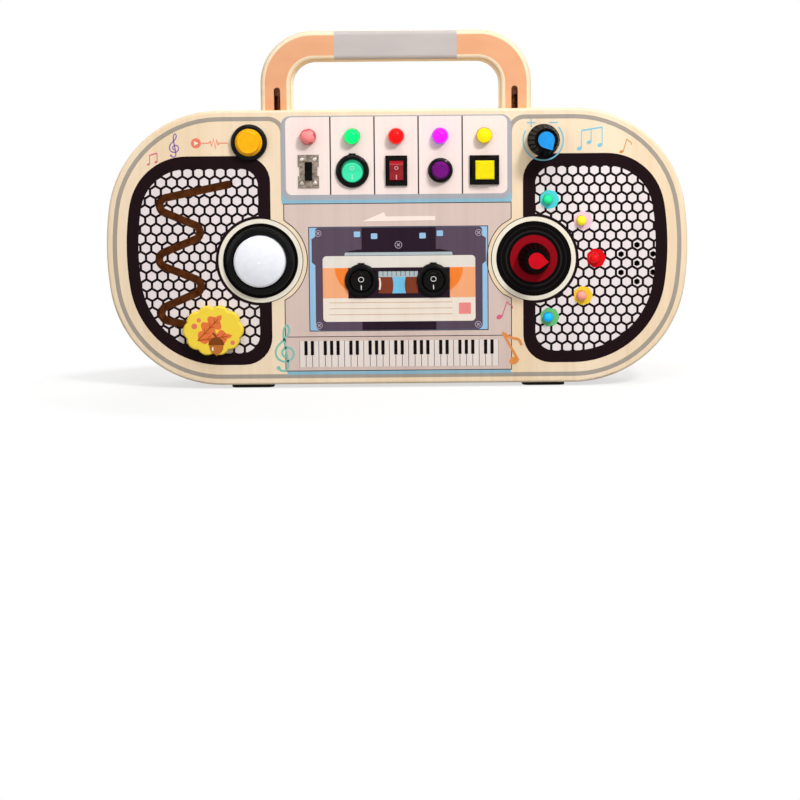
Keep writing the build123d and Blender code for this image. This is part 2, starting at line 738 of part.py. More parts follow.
def ribbed(radius):
    """A ring of flat ribs with a groove between each two, as a sketch."""
    deep, width = KNOB_GROOVE
    pitch = 2 * math.pi / KNOB_GROOVES
    half_groove = width / (2 * KNOB_RADIUS)
    corners = []
    for step in range(KNOB_GROOVES):
        for reach, turn in ((radius - deep, 0), (radius, half_groove), (radius, pitch - half_groove)):
            corners.append((reach * math.cos(step * pitch + turn), reach * math.sin(step * pitch + turn)))
    return make_face(Polyline(*corners, close=True))


def knob(x, z, points):
    """A tapered, ribbed knob: hollow behind for the nut, bored for the shaft, with a pocket on top."""
    rear = -KNOB_OFF_PANEL
    front = -KNOB_PROUD + KNOB_CAP_PROUD
    ends = []
    for depth, radius in ((rear - KNOB_RIM, KNOB_RADIUS), (front, KNOB_TOP_RADIUS)):
        ends.append(Plane(origin=(x, depth, z), x_dir=(1, 0, 0), z_dir=(0, -1, 0)) * ribbed(radius))
    body = loft(ends, ruled=True) + rod(x, z, rear - KNOB_RIM, rear, KNOB_RADIUS)
    wall, deep = KNOB_NOSE
    body += slab(teardrop(x, z, points, wall), front, front + deep)
    nut_room = POT_NUT[0] / math.sqrt(3) + FIT
    body -= rod(x, z, -BUSH_PROUD - FIT, rear + CUT, nut_room)
    body -= rod(x, z, shaft_front(), rear + CUT, SHAFT_RADIUS)
    return body - slab(teardrop(x, z, points), front - CUT, -KNOB_PROUD + KNOB_CAP_THICK)


def knob_cap(x, z, points):
    return slab(teardrop(x, z, points), -KNOB_PROUD, -KNOB_PROUD + KNOB_CAP_THICK)


# ------------------------------------------------------------------ rocker and slide switches
def rocker_cut(round_form, width):
    """Cut a ball or drum, centred on its pivot, to a folded face in front and a flat behind."""
    far = 3 * ROCKER_CAP
    rise = far * math.tan(math.radians(ROCKER_FOLD))
    fold = -ROCKER_FACE
    # drawn as (z, depth) and stood across the switch
    profile = make_face(Polyline((0, fold), (far, fold - rise), (far, -far), (-far, -far),
                                 (-far, fold - rise), close=True))
    plane = Plane(origin=(-width / 2, 0, 0), x_dir=(0, 0, 1), z_dir=(-1, 0, 0))
    cut = round_form - extrude(plane * profile, amount=-width)
    return cut - Pos(0, far / 2 + ROCKER_CAP / 2, 0) * Box(far, far, far)


def tilted(cap, x, z):
    """Set a cap on its pivot with the upper half out."""
    return Pos(x, ROCKER_SUNK - ROCKER_RISE, z) * Rot(ROCKER_TILT, 0, 0) * cap


def round_rocker_cap(x, z):
    return tilted(rocker_cut(Sphere(ROCKER_CAP), 3 * ROCKER_CAP), x, z)


def round_rocker_housing(x, z):
    top = -ROCKER_RISE
    bore = ROCKER_CAP + FIT
    pocket = top + ROCKER_POCKET
    body = turned(x, z, (0, ROCKER_DEEP), (ROCKER_BARREL, ROCKER_DEEP), (ROCKER_BARREL, 0),
                  (ROCKER_BEZEL, 0), *eased_lip(ROCKER_BEZEL, top, BEZEL_LIP), (bore, top),
                  (bore, pocket), (0, pocket))
    key = block(x, z + ROCKER_BEZEL - CAP_LIP, top + CAP_LIP, 0, *ROCKER_KEY)
    return body + key + blades(x, z, ROCKER_DEEP, ROCKER_BARREL / 2)


def rect_rocker_cap(x, z):
    width, radius = RECT_CAP
    drum = Rot(0, 90, 0) * Cylinder(radius, width)
    return tilted(rocker_cut(drum, 2 * width), x, z)


def rect_rocker_housing(x, z):
    top = -ROCKER_RISE
    width, radius = RECT_CAP
    bezel = block(x, z, top, 0, *RECT_BEZEL)
    bezel = chamfer(bezel.faces().sort_by(Axis.Y)[0].edges(), RECT_LIP)
    body = bezel + block(x, z, 0, ROCKER_DEEP, *RECT_BARREL)
    body -= block(x, z, top - CUT, top + ROCKER_POCKET, width + 2 * FIT, 2 * (radius + FIT))
    return body + blades(x, z, ROCKER_DEEP, RECT_BARREL[0] / 4)


def slide_window():
    width, height, proud = SLIDE_LEVER
    return width + 2 * FIT, height + SLIDE_TRAVEL + 2 * FIT


def slide_plate(x):
    """The pressed metal face of the slide switch, notched at its sides."""
    width, height, thick = SLIDE_PLATE
    hole, from_side, from_end = SLIDE_HOLE
    face = Rectangle(width, height) - Rectangle(*slide_window())
    for side in (-1, 1):
        face -= Pos(side * width / 2, 0) * Rectangle(*SLIDE_NOTCH)
        for end in (-1, 1):
            face -= Pos(side * (width / 2 - from_side), end * (height / 2 - from_end)) * Circle(hole)
    return slab(Pos(x, SWITCH_Z) * face, -thick, 0)


def slide_body(x):
    width, height, deep = SLIDE_BODY
    body = block(x, SWITCH_Z, 0, deep, width, height)
    body -= block(x, SWITCH_Z, -CUT, SLIDE_POCKET, *slide_window())
    return body + blades(x, SWITCH_Z, deep, width / 4)


def slide_lever(x):
    """A ridged thumb lever, at the lower end of its window."""
    width, height, proud = SLIDE_LEVER
    z = SWITCH_Z - SLIDE_TRAVEL / 2
    lever = block(x, z, -proud, SLIDE_POCKET - FIT, width, height)
    for step in (-1, 0, 1):
        lever -= block(x, z + step * height / 4, -proud - CUT, -proud + SLIDE_RIDGE, width + CUT, SLIDE_RIDGE)
    return lever


# ------------------------------------------------------------------ loudspeaker and board
def speaker_frame():
    """A pressed basket on a rim, with the magnet behind."""
    rim = CONE_RADIUS + CONE_RIM
    radius, thick = MAGNET
    seat = FRONT_THICK + CONE_DEEP
    return turned(VENT_X, VENT_Z, (0, seat + thick), (radius, seat + thick), (radius, seat),
                  (CONE_RADIUS, FRONT_THICK + BASKET_WALL), (rim, FRONT_THICK + BASKET_WALL),
                  (rim, FRONT_THICK), (CONE_RADIUS - BASKET_WALL, FRONT_THICK),
                  (radius - BASKET_WALL, seat - BASKET_WALL), (0, seat - BASKET_WALL))


def speaker_cone():
    """Paper cone with its dust cap, resting inside the basket."""
    rear = FRONT_THICK + CONE_DEEP - BASKET_WALL
    front = FRONT_THICK + FIT
    foot = MAGNET[0] - 2 * BASKET_WALL
    edge = CONE_RADIUS - 2 * BASKET_WALL
    reach, bulge = DUST_CAP
    collar = rear - BASKET_WALL
    return turned(VENT_X, VENT_Z, (0, rear), (foot, rear), (edge, front), (edge - BASKET_WALL, front),
                  (reach, collar), (reach / 2, collar - bulge), (0, collar - bulge))


def circuit_board():
    start = FRONT_THICK + SPACER_LENGTH
    rear = start + BOARD_THICK
    board = block(0, BOARD_Z, start, rear, *BOARD_SIZE)
    for x, width, height, rise in (CHIP, SOCKET):
        board += block(x, BOARD_Z, rear, rear + rise, width, height)
    x, z, radius, rise = CAPACITOR
    return board + rod(x, BOARD_Z + z, rear, rear + rise, radius)


def spacer_places():
    reach_x = (BOARD_SIZE[0] - SPACER_ACROSS) / 2 - SPACER_INSET
    reach_z = (BOARD_SIZE[1] - SPACER_ACROSS) / 2 - SPACER_INSET
    return [(x, BOARD_Z + z) for x in (-reach_x, reach_x) for z in (-reach_z, reach_z)]


def board_spacers():
    end = FRONT_THICK + SPACER_LENGTH
    return [slab(Pos(x, z) * hexagon(SPACER_ACROSS), FRONT_THICK, end) for x, z in spacer_places()]


# ------------------------------------------------------------------ token on its track
def token():
    """A scalloped counter, bevelled in front, bored behind for its screw."""
    x, z = TRACK[-1]
    half_x = TOKEN_SIZE[0] / 2 - TOKEN_LOBE
    half_z = TOKEN_SIZE[1] / 2 - TOKEN_LOBE
    shape = Ellipse(half_x + TOKEN_WEB, half_z + TOKEN_WEB)
    for step in range(TOKEN_LOBES):
        turn = math.radians(360 * step / TOKEN_LOBES)
        shape += Pos(half_x * math.cos(turn), half_z * math.sin(turn)) * Circle(TOKEN_LOBE)
    rear = -TOKEN_OFF_PANEL
    solid = slab(Pos(x, z) * shape, rear - TOKEN_THICK, rear)
    solid = chamfer(solid.faces().sort_by(Axis.Y)[0].edges(), TOKEN_EDGE)
    return solid - rod(x, z, rear - TOKEN_BITE, rear + CUT, TOKEN_SCREW[0])


def spool_flange():
    """Depths of the flange that runs behind the panel."""
    start = FRONT_THICK + FIT
    return start, start + SPOOL_FLANGE[1]


def track_spool():
    """The nylon spool that runs in the slot and carries the token's screw."""
    x, z = TRACK[-1]
    start, end = spool_flange()
    spool = rod(x, z, start, end, SPOOL_FLANGE[0])
    spool += rod(x, z, -TOKEN_OFF_PANEL + SPOOL_GAP, start, TRACK_WIDTH / 2 - FIT)
    return spool - rod(x, z, -CUT, end + CUT, TOKEN_SCREW[0] + RUNNING)


def token_screw():
    x, z = TRACK[-1]
    shank, head, rise = TOKEN_SCREW
    under = spool_flange()[1] + SPOOL_GAP
    return rod(x, z, -TOKEN_OFF_PANEL - TOKEN_BITE, under, shank) + rod(x, z, under, under + rise, head)


# ------------------------------------------------------------------ assembly
def assembly():
    """Every node's name with its solid, or with the separate solids that share it."""
    slide_x, green_x, red_x, purple_x, square_x = lamp_row()
    nodes = {
        "front_panel": front_panel(),
        "frame_core": frame_core(),
        "rear_rim": rear_rim(),
        "corner_blocks": corner_blocks(),
        "back_panel": back_panel(),
        "battery_door_frame": battery_door_frame(),
        "battery_door": battery_door(),
        "wood_screws": wood_screws(),
        "battery_holder": battery_holder(),
        "battery_cells": cells(),
        "rubber_feet": rubber_feet(),
        "handle": handle(),
        "handle_bolts": handle_bolts(),
        "handle_barrel_nuts": handle_barrel_nuts(),
        "dome_button_housing": dome_housing(),
        "dome_button_plunger": dome_plunger(),
        "dome_button_nut": dome_nut(),
        "dome_button_microswitch": microswitch(),
        "slide_switch_plate": slide_plate(slide_x),
        "slide_switch_body": slide_body(slide_x),
        "slide_switch_lever": slide_lever(slide_x),
        "green_rocker_housing": round_rocker_housing(green_x, SWITCH_Z),
        "green_rocker_cap": round_rocker_cap(green_x, SWITCH_Z),
        "red_rocker_housing": rect_rocker_housing(red_x, SWITCH_Z),
        "red_rocker_cap": rect_rocker_cap(red_x, SWITCH_Z),
        "reel_rocker_housings": [round_rocker_housing(x, REEL_Z) for x in (-REEL_X, REEL_X)],
        "left_reel_cap": round_rocker_cap(-REEL_X, REEL_Z),
        "right_reel_cap": round_rocker_cap(REEL_X, REEL_Z),
        "speaker_frame": speaker_frame(),
        "speaker_cone": speaker_cone(),
        "circuit_board": circuit_board(),
        "board_spacers": board_spacers(),
        "token": token(),
        "track_spool": track_spool(),
        "token_screw": token_screw(),
    }
    yellow = round_button(YELLOW_X, YELLOW_Z, YELLOW_BEZEL, YELLOW_BARREL, YELLOW_SKIRT, YELLOW_CAP,
                          YELLOW_TRAVEL)
    purple = round_button(purple_x, SWITCH_Z, PURPLE_BEZEL, PURPLE_BARREL, PURPLE_SKIRT, PURPLE_CAP,
                          PURPLE_TRAVEL)
    nodes["yellow_button_housing"], nodes["yellow_button_cap"] = yellow[:2]
    nodes["purple_button_housing"], nodes["purple_button_cap"] = purple[:2]
    nodes["button_nuts"] = [yellow[2], purple[2]]
    nodes["square_button_housing"], nodes["square_button_cap"] = square_button(square_x, SWITCH_Z)

    knobs = {"volume": (VOLUME_X, VOLUME_Z, VOLUME_POINTS),
             "selector": (SPEAKER_X, SPEAKER_Z, SELECTOR_POINTS)}
    for name, (x, z, points) in knobs.items():
        nodes[name + "_knob"] = knob(x, z, points)
        nodes[name + "_knob_cap"] = knob_cap(x, z, points)
        nodes[name + "_shaft"] = shaft(x, z)
    nodes["potentiometers"] = [potentiometer(x, z) for x, z, points in knobs.values()]
    nodes["potentiometer_nuts"] = [pot_nut(x, z) for x, z, points in knobs.values()]

    for colour, x in zip(("pink", "green", "red", "purple", "yellow"), lamp_row()):
        nodes["lamp_" + colour] = lamp(x, LAMP_Z, LAMP_RADIUS, LAMP_PROUD)
    for colour, (x, z) in zip(("green", "yellow", "red", "pink", "blue"), small_lamps()):
        nodes["small_lamp_" + colour] = lamp(x, z, SMALL_LAMP_RADIUS, SMALL_LAMP_PROUD)
    return nodes


os.makedirs("parts", exist_ok=True)
to_frame = Pos(0, -ORIGIN_DEPTH, -ORIGIN_Z)
for node_name, found in assembly().items():
    solids = found if isinstance(found, list) else [found]
    placed = [to_frame * solid for solid in solids]
    shape = placed[0] if len(placed) == 1 else Compound(children=placed)
    export_step(shape, "parts/" + node_name + ".step")
    print(node_name, round(sum(solid.volume for solid in placed), 1))
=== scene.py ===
# %% [markdown]
# # A wooden busy board in the shape of a portable stereo
#
# The board is a flat, hollow plywood body with a carrying handle. Its printed front holds push
# buttons, rocker switches, turning knobs and lamps, and a token that slides on a wavy slot.
# The solid model of every piece is loaded first and stays where it is. This notebook gives the
# pieces their finishes and adds what a solid modeller leaves out: the printed inks, the marks on
# the switches, the rivets of the slide switch and the recesses of the screws.

# %% Load the solid model and keep its box
import math

import bmesh
import bpy
from mathutils import Matrix, Vector


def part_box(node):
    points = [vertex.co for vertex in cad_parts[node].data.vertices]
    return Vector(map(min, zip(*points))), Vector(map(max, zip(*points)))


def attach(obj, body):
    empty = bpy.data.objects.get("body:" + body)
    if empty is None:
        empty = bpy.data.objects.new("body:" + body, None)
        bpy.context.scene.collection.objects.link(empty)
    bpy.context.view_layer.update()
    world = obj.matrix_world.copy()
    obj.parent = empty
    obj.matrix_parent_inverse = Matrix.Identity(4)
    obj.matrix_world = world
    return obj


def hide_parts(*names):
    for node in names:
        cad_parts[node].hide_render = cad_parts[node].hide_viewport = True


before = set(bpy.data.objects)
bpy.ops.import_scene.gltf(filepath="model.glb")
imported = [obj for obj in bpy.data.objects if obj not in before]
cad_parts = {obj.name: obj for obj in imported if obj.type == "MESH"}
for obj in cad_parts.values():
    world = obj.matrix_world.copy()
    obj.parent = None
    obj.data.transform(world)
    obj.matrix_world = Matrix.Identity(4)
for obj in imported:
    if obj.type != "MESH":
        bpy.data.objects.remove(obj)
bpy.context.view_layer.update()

# %% [markdown]
# ## Panel coordinates
#
# A busy board is easiest to lay out as its maker draws it: x to the right, z up from the middle of
# the front, and a depth that grows into the body, all in millimetres. Blender works in metres with
# the origin under the board, so one small function turns a place on the panel into a place in the
# scene. Everything below goes through it, which keeps prints and pieces in step with the model.

# %% From the panel to the scene
MM = 0.001
PANEL_DEPTH = 10.0          # the panel's face is this far in front of the origin
PANEL_MIDDLE = 73.0         # height of the middle of the panel


def place(x, depth, z):
    """A point in panel millimetres as a point of the scene."""
    return Vector((x * MM, (depth - PANEL_DEPTH) * MM, (z + PANEL_MIDDLE) * MM))


print("middle of the panel:", tuple(round(v, 4) for v in place(0, 0, 0)))

# %% [markdown]
# ## Shader maths as plain expressions
#
# Procedural finishes are sums and products of textures. Writing each one as a chain of node calls
# hides the idea, so a socket is wrapped in a class that understands + - * < and >. An expression
# on wrapped sockets then adds its own Math nodes, and it reads like the formula it stands for.

# %% Colours, and a socket that does sums


def tint(code):
    """A colour written as #RRGGBB, in the linear numbers that shaders use."""
    parts = [int(code[i:i + 2], 16) / 255 for i in (1, 3, 5)]
    linear = [c / 12.92 if c <= 0.04045 else ((c + 0.055) / 1.055) ** 2.4 for c in parts]
    return (*linear, 1.0)


class Wire:
    """An output socket. Sums on it add Math nodes."""

    def __init__(self, finish, socket):
        self.finish = finish
        self.socket = socket

    def sum(self, operation, first, second):
        """One Math node."""
        return self.finish.node("ShaderNodeMath", {"operation": operation}, {0: first, 1: second})

    def __add__(self, other):
        return self.sum("ADD", self, other)

    def __sub__(self, other):
        return self.sum("SUBTRACT", self, other)

    def __mul__(self, other):
        return self.sum("MULTIPLY", self, other)

    def __rsub__(self, other):
        return self.sum("SUBTRACT", other, self)

    def __gt__(self, other):
        return self.sum("GREATER_THAN", self, other)

    def __lt__(self, other):
        return self.sum("LESS_THAN", self, other)

    def __abs__(self):
        return self.sum("ABSOLUTE", self, 0.0)

    __radd__ = __add__
    __rmul__ = __mul__


print("cream in linear numbers:", [round(part, 3) for part in tint("#F5E0C3")])

# %% A finish that makes its nodes
RELIEF = 0.3                # strength of all fine relief


class Finish:
    """A material whose nodes are made one call at a time."""

    def __init__(self, name, constants=None):
        self.material = bpy.data.materials.new(name)
        self.material.use_nodes = True
        self.tree = self.material.node_tree
        self.shader = self.tree.nodes["Principled BSDF"]
        for socket, value in (constants or {}).items():
            self.shader.inputs[socket].default_value = value

    def node(self, kind, settings=None, inputs=None, out=0):
        """One node: its settings first, then its sockets. Returns the output asked for."""
        made = self.tree.nodes.new(kind)
        for name, value in (settings or {}).items():
            setattr(made, name, value)
        for name, value in (inputs or {}).items():
            if isinstance(value, Wire):
                self.tree.links.new(value.socket, made.inputs[name])
            else:
                made.inputs[name].default_value = value
        return Wire(self, made.outputs[out])

    def feed(self, name, wire):
        """Links a value that varies to a socket of the shader."""
        self.tree.links.new(wire.socket, self.shader.inputs[name])
        return self

    def here(self):
        """Where a point is on its piece."""
        return self.node("ShaderNodeTexCoord", out="Object")

    def split(self, vector):
        """The three parts of a vector."""
        made = self.tree.nodes.new("ShaderNodeSeparateXYZ")
        self.tree.links.new(vector.socket, made.inputs[0])
        return [Wire(self, output) for output in made.outputs]

    def normal(self):
        """Which way the surface faces."""
        return self.node("ShaderNodeNewGeometry", out="Normal")

    def noise(self, stretch, detail=2.0, rough=0.5):
        """Noise at one scale, or drawn out by a scale of its own along each axis."""
        if isinstance(stretch, float):
            stretch = (stretch, stretch, stretch)
        spread = self.node("ShaderNodeMapping", {"vector_type": "POINT"},
                           {"Vector": self.here(), "Scale": stretch})
        return self.node("ShaderNodeTexNoise", None,
                         {"Vector": spread, "Scale": 1.0, "Detail": detail, "Roughness": rough})

    def colours(self, factor, first, second, way="MIX"):
        """Two colours mixed. Each may be a colour or a wire."""
        return self.node("ShaderNodeMix", {"data_type": "RGBA", "blend_type": way},
                         {0: factor, 6: first, 7: second}, out=2)

    def between(self, value, low, high):
        """0 below low, 1 above high, and smooth in between."""
        return self.node("ShaderNodeMapRange", {"interpolation_type": "SMOOTHSTEP"},
                         {"Value": value, "From Min": low, "From Max": high})

    def bump(self, height, distance):
        """Relief as deep as a distance in metres, too fine for the mesh."""
        return self.feed("Normal", self.node("ShaderNodeBump", None, {
            "Height": height, "Distance": distance, "Strength": RELIEF}))

    def off_axis(self, node, drop=0.0):
        """How far a point is from the line through a piece's middle, or a drop (mm) below it."""
        low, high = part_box(node)
        x, _, z = self.split(self.here())
        dx, dz = x - (low.x + high.x) / 2, z - ((low.z + high.z) / 2 - drop * MM)
        return self.node("ShaderNodeMath", {"operation": "SQRT"}, {0: dx * dx + dz * dz})


def dress(material, *nodes):
    """Gives the solid model's own pieces a better material."""
    for name in nodes:
        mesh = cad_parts[name].data
        mesh.materials.clear()
        mesh.materials.append(material)


print("pieces to dress:", len(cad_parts))

# %% [markdown]
# ## Birch plywood
#
# Rotary-cut birch is cream, with broad soft figure and very fine pores that run with the grain.
# Here the grain stands upright, as on the real board. The edge of plywood shows its layers, light
# long grain and darker end grain in turn, parted by thin glue lines. Both looks are kept in one
# material: the way a surface faces says which one it gets, so a rounded edge blends from one to
# the other just as sanding does. Where a laser cut the wood, its walls are burnt brown.

# %% The wood and its edge
BIRCH = tint("#F5E0C3")
BIRCH_DEEP = tint("#E8CCA6")
LAYER_DARK = tint("#CDA676")
BURNT = tint("#2E1407")
SCORCH = tint("#6A3B16")
PLY = 1.4                   # thickness of one layer, mm
TURNING = (0.45, 0.8)       # from a wall to a face, by how far the surface looks forwards
GRAIN = (                   # scale across, scale along, detail, roughness
    (24.0, 5.0, 3.0, 0.55),
    (260.0, 9.0, 3.0, 0.6),
    (1900.0, 60.0, 2.0, 0.6),
)


def grain(f, upright=True):
    """Three scales of birch: broad figure, streaks and pores, each from 0 to 1."""
    noises = []
    for across, along, detail, rough in GRAIN:
        stretch = (across, across, along) if upright else (along, across, across)
        noises.append(f.noise(stretch, detail, rough))
    return noises


def wood(f, light=BIRCH, deep=BIRCH_DEEP, upright=True):
    """Colour and height of a planed birch face."""
    figure, streaks, pores = grain(f, upright)
    tone = f.between(figure, 0.34, 0.72) * 0.55 + f.between(streaks, 0.35, 0.75) * 0.35
    colour = f.colours(tone, light, deep)
    fleck = f.between(pores, 0.56, 0.8) * 0.22
    return f.colours(fleck, colour, LAYER_DARK), pores


def layers(f, count_from=0.0):
    """Colour of a plywood edge whose layers are stacked from front to back."""
    depth = f.split(f.here())[1]
    turn = (depth + count_from) * (1000.0 / PLY) * 0.5
    wave = abs(f.node("ShaderNodeMath", {"operation": "FRACT"}, {0: turn + 50.0}) - 0.5) * 2.0
    fibres = f.noise(700.0, 3.0, 0.7)
    stripe = f.between(wave + (fibres - 0.5) * 0.5, 0.42, 0.58)
    edge = f.colours(stripe * 0.38, tint("#ECD3A8"), LAYER_DARK)
    glue = f.between(abs(wave - 0.5), 0.06, 0.0) * 0.3
    return f.colours(glue, edge, tint("#A97B4A"))


def plywood(name, cut_walls=None, faces=BIRCH, deep=BIRCH_DEEP):
    """Birch on faces that look forwards or back, layers on the walls, burnt where a laser cut."""
    f = Finish(name, {"Roughness": 0.5, "Specular IOR Level": 0.25, "Coat Weight": 0.04,
                      "Coat Roughness": 0.35})
    face, pores = wood(f, faces, deep)
    facing = abs(f.split(f.normal())[1])
    wall = 1.0 - f.between(facing, *TURNING)
    colour = f.colours(wall, face, layers(f))
    if cut_walls:
        char = f.noise(160.0, 3.0, 0.6)
        scorched = f.colours(f.between(char, 0.4, 0.7), BURNT, SCORCH)
        colour = f.colours(wall * cut_walls(f), colour, scorched)
    f.feed("Base Color", colour)
    f.bump(pores, 0.00005)
    return f.material


# %% Burnt walls, and the boards themselves
SLOT_AREA = (-136, -46, -82, 36)    # left, low, right, high
VENT_AREA = (108, -26, 142, 8)


def inside_box(f, left, low, right, high):
    """1 where a point of the panel lies in a rectangle, in panel millimetres."""
    x, _, z = f.split(f.here())
    first, last = place(left, 0, low), place(right, 0, high)
    return (x > first.x) * (x < last.x) * (z > first.z) * (z < last.z)


def facing_in(f):
    """1 on walls that face the middle of the body, 0 on those that face away."""
    x, _, z = f.split(f.here())
    nx, _, nz = f.split(f.normal())
    return (x * nx + (z - PANEL_MIDDLE * MM) * nz) < 0.0


def slot_and_vents(f):
    """1 round the wavy slot and the sound vents."""
    return inside_box(f, *SLOT_AREA) + inside_box(f, *VENT_AREA)


front_birch = plywood("birch_front", slot_and_vents)
rim_birch = plywood("birch_rim", facing_in, tint("#EFD6AE"), tint("#DFBD90"))
back_birch = plywood("birch_back", lambda f: 1.0, tint("#F2DAB6"), tint("#E6C69C"))
core_birch = plywood("birch_core")
dress(front_birch, "front_panel")
dress(rim_birch, "rear_rim")
dress(back_birch, "back_panel", "battery_door")
dress(core_birch, "frame_core", "corner_blocks", "battery_door_frame")
print("wood:", ", ".join(m.name for m in (front_birch, rim_birch, back_birch, core_birch)))

# %% [markdown]
# ## The handle
#
# The handle is one arch of the same plywood with rounded edges. Its flat front carries an orange
# print that stops short of the rounding, and a grey grip band in the middle that runs over it.
# The print has no thickness worth modelling, so the material decides by place: orange where the
# surface looks straight forwards, grey where it is near the middle and on the front half.

# %% Orange print and grey grip on the handle
GRIP_HALF = 31.8
GRIP_REACH = 3.1            # how far back the grip band may run over the rounded edge
FLAT = 0.9995               # orange is only where the surface looks forwards at least this much
CHANNEL_X, CHANNEL_HALF, CHANNEL_TOP = 61.6, 2.4, 25.0  # bolt channels, the last below the top


def handle_finish():
    """Birch with an orange front, a grey grip band and burnt bolt channels."""
    f = Finish("handle_birch", {"Roughness": 0.55, "Specular IOR Level": 0.2})
    face, pores = wood(f, upright=False)
    nx, ny, _ = f.split(f.normal())
    wall = 1.0 - f.between(abs(ny), *TURNING)
    colour = f.colours(wall, face, layers(f, 0.0004))
    x, y, z = f.split(f.here())
    ink = f.noise((40.0, 40.0, 90.0))
    tone = f.between(ink, 0.3, 0.75) * 0.6
    orange = f.colours(tone, tint("#E2A67C"), tint("#DA986E"))
    grey = f.colours(tone, tint("#BDB4B1"), tint("#B3AAA8"))
    forwards = ny * -1.0
    colour = f.colours(forwards > FLAT, colour, orange)
    low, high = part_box("handle")
    on_front = (y < low.y + GRIP_REACH * MM) * (forwards > TURNING[0])
    grip = (abs(x) < GRIP_HALF * MM) * on_front
    colour = f.colours(grip, colour, grey)
    char = f.colours(f.between(ink, 0.4, 0.6), tint("#4A240E"), tint("#8A4E26"))
    channel = (abs(abs(x) - CHANNEL_X * MM) < CHANNEL_HALF * MM) * (z < high.z - CHANNEL_TOP * MM)
    colour = f.colours((abs(nx) > 0.7) * channel, colour, char)
    f.feed("Base Color", colour)
    f.bump(pores, 0.00006)
    return f.material


dress(handle_finish(), "handle")
print("grip band:", 2 * GRIP_HALF, "mm wide")

# %% [markdown]
# ## Plastics, metals and rubber
#
# Moulded black plastic is never one flat black. It has a faint grey mottle and a coat that varies
# in gloss where fingers have been. Lamps are clear resin with colour in it, lit from inside, so
# they take some emission and a thin coat. Screws are zinc over steel, mottled by handling.

# %% Recipes for moulded and metal finishes


def moulded(name, colour, deep, rough, coat=0.1, glow=0.0, scatter=0.0, shine=0.15):
    """Injection-moulded plastic with a faint mottle and an uneven gloss."""
    f = Finish(name, {"Coat Weight": coat, "Coat Roughness": 0.05, "Emission Strength": glow,
                      "Specular IOR Level": shine, "Subsurface Weight": scatter,
                      "Subsurface Scale": 0.002})
    mottle = f.noise(320.0, 3.0, 0.55)
    shade = f.colours(f.between(mottle, 0.3, 0.7), tint(colour), tint(deep))
    f.feed("Base Color", shade)
    # A glow gives off light in the piece's own colours. The white dome and the slot floor take one
    # though they hold no lamp, which is painted light.
    if glow:
        f.feed("Emission Color", shade)
    f.feed("Roughness", mottle * 0.16 + (rough - 0.08))
    f.bump(f.noise(2600.0), 0.00001)
    return f.material


def metal(name, colour, deep, rough, metallic=1.0):
    """Metal whose colour and gloss are mottled by handling."""
    f = Finish(name, {"Metallic": metallic})
    wear = f.noise(700.0, 4.0, 0.6)
    f.feed("Base Color", f.colours(f.between(wear, 0.35, 0.65), tint(colour), tint(deep)))
    f.feed("Roughness", wear * 0.3 + (rough - 0.15))
    return f.material


# %% Plastics
dress(moulded("black_plastic", "#030202", "#060505", 0.28, 0.1, shine=0.06),
      "yellow_button_housing", "purple_button_housing", "square_button_housing",
      "green_rocker_housing", "red_rocker_housing", "reel_rocker_housings", "left_reel_cap",
      "right_reel_cap", "dome_button_housing", "dome_button_nut", "dome_button_microswitch",
      "slide_switch_lever", "slide_switch_body", "battery_holder", "button_nuts", "speaker_frame")
dress(moulded("knob_plastic", "#020101", "#040303", 0.4, 0.03, shine=0.03),
      "volume_knob", "selector_knob")
# The white dome's glow of 0.12 is painted light: no lamp sits in it.
dress(moulded("dome_white_painted_glow", "#E9EAF0", "#E4E5EC", 0.35, 0.1, 0.12, 0.1), "dome_button_plunger")
dress(moulded("yellow_plastic", "#FCB804", "#F6AE00", 0.3, scatter=0.15), "yellow_button_cap")
dress(moulded("purple_plastic", "#76027E", "#680270", 0.28, 0.06), "purple_button_cap")
dress(moulded("square_yellow", "#F8E204", "#EFD800", 0.3, scatter=0.15), "square_button_cap")
dress(moulded("blue_plastic", "#229AE8", "#1A8EDC", 0.3), "volume_knob_cap")
dress(moulded("red_plastic", "#D2041A", "#C40016", 0.34, 0.06, shine=0.08), "selector_knob_cap")
dress(moulded("red_rocker_plastic", "#A41C28", "#941420", 0.24, 0.15), "red_rocker_cap")
dress(moulded("rubber", "#0C0B0B", "#1E1C1B", 0.7, 0.0), "rubber_feet")
dress(moulded("nylon", "#E8E4D8", "#DAD5C6", 0.45, 0.1, scatter=0.2), "track_spool",
      "board_spacers")
dress(moulded("circuit_board", "#1F6B3C", "#185C32", 0.4, 0.2), "circuit_board")
dress(moulded("paper_cone", "#2A2624", "#1C1918", 0.8, 0.0), "speaker_cone")
dress(moulded("cell_wrap", "#C9CDD2", "#B9BEC4", 0.3, 0.3), "battery_cells")
print("finishes so far:", len(bpy.data.materials))

# %% Metals
steel = metal("zinc_steel", "#9A948E", "#7C7670", 0.4)
dress(steel, "potentiometers", "potentiometer_nuts", "volume_shaft", "selector_shaft",
      "token_screw", "wood_screws")
dress(metal("bronzed_steel", "#C87C48", "#8C4C26", 0.4, 0.15), "handle_bolts",
      "handle_barrel_nuts")
dress(metal("stamped_plate", "#A29285", "#6C6056", 0.4, 0.8), "slide_switch_plate")
print("finishes so far:", len(bpy.data.materials))

# %% The green rocker: a glow of its own, and a painted shaded crescent


def rocker_with_painted_crescent(node, bright, dark, drop, radius):
    """Clear green resin that gives off a little light, with painted shade in a crescent above."""
    f = Finish(node + "_resin", {"Coat Weight": 0.15, "Coat Roughness": 0.05, "Roughness": 0.3,
                                 "Specular IOR Level": 0.2, "Emission Strength": 0.3})
    haze = f.noise(320.0, 3.0, 0.55)
    out = f.off_axis(node, drop) + haze * 0.0003
    # beyond this circle the resin takes the deep colour: painted shade of the cap's wall, not a
    # colour of the resin
    edge = f.between(out, radius * MM, (radius + 0.5) * MM)
    shade = f.colours(edge, tint(bright), tint(dark))
    f.feed("Base Color", shade)
    f.feed("Emission Color", shade)
    return f.material
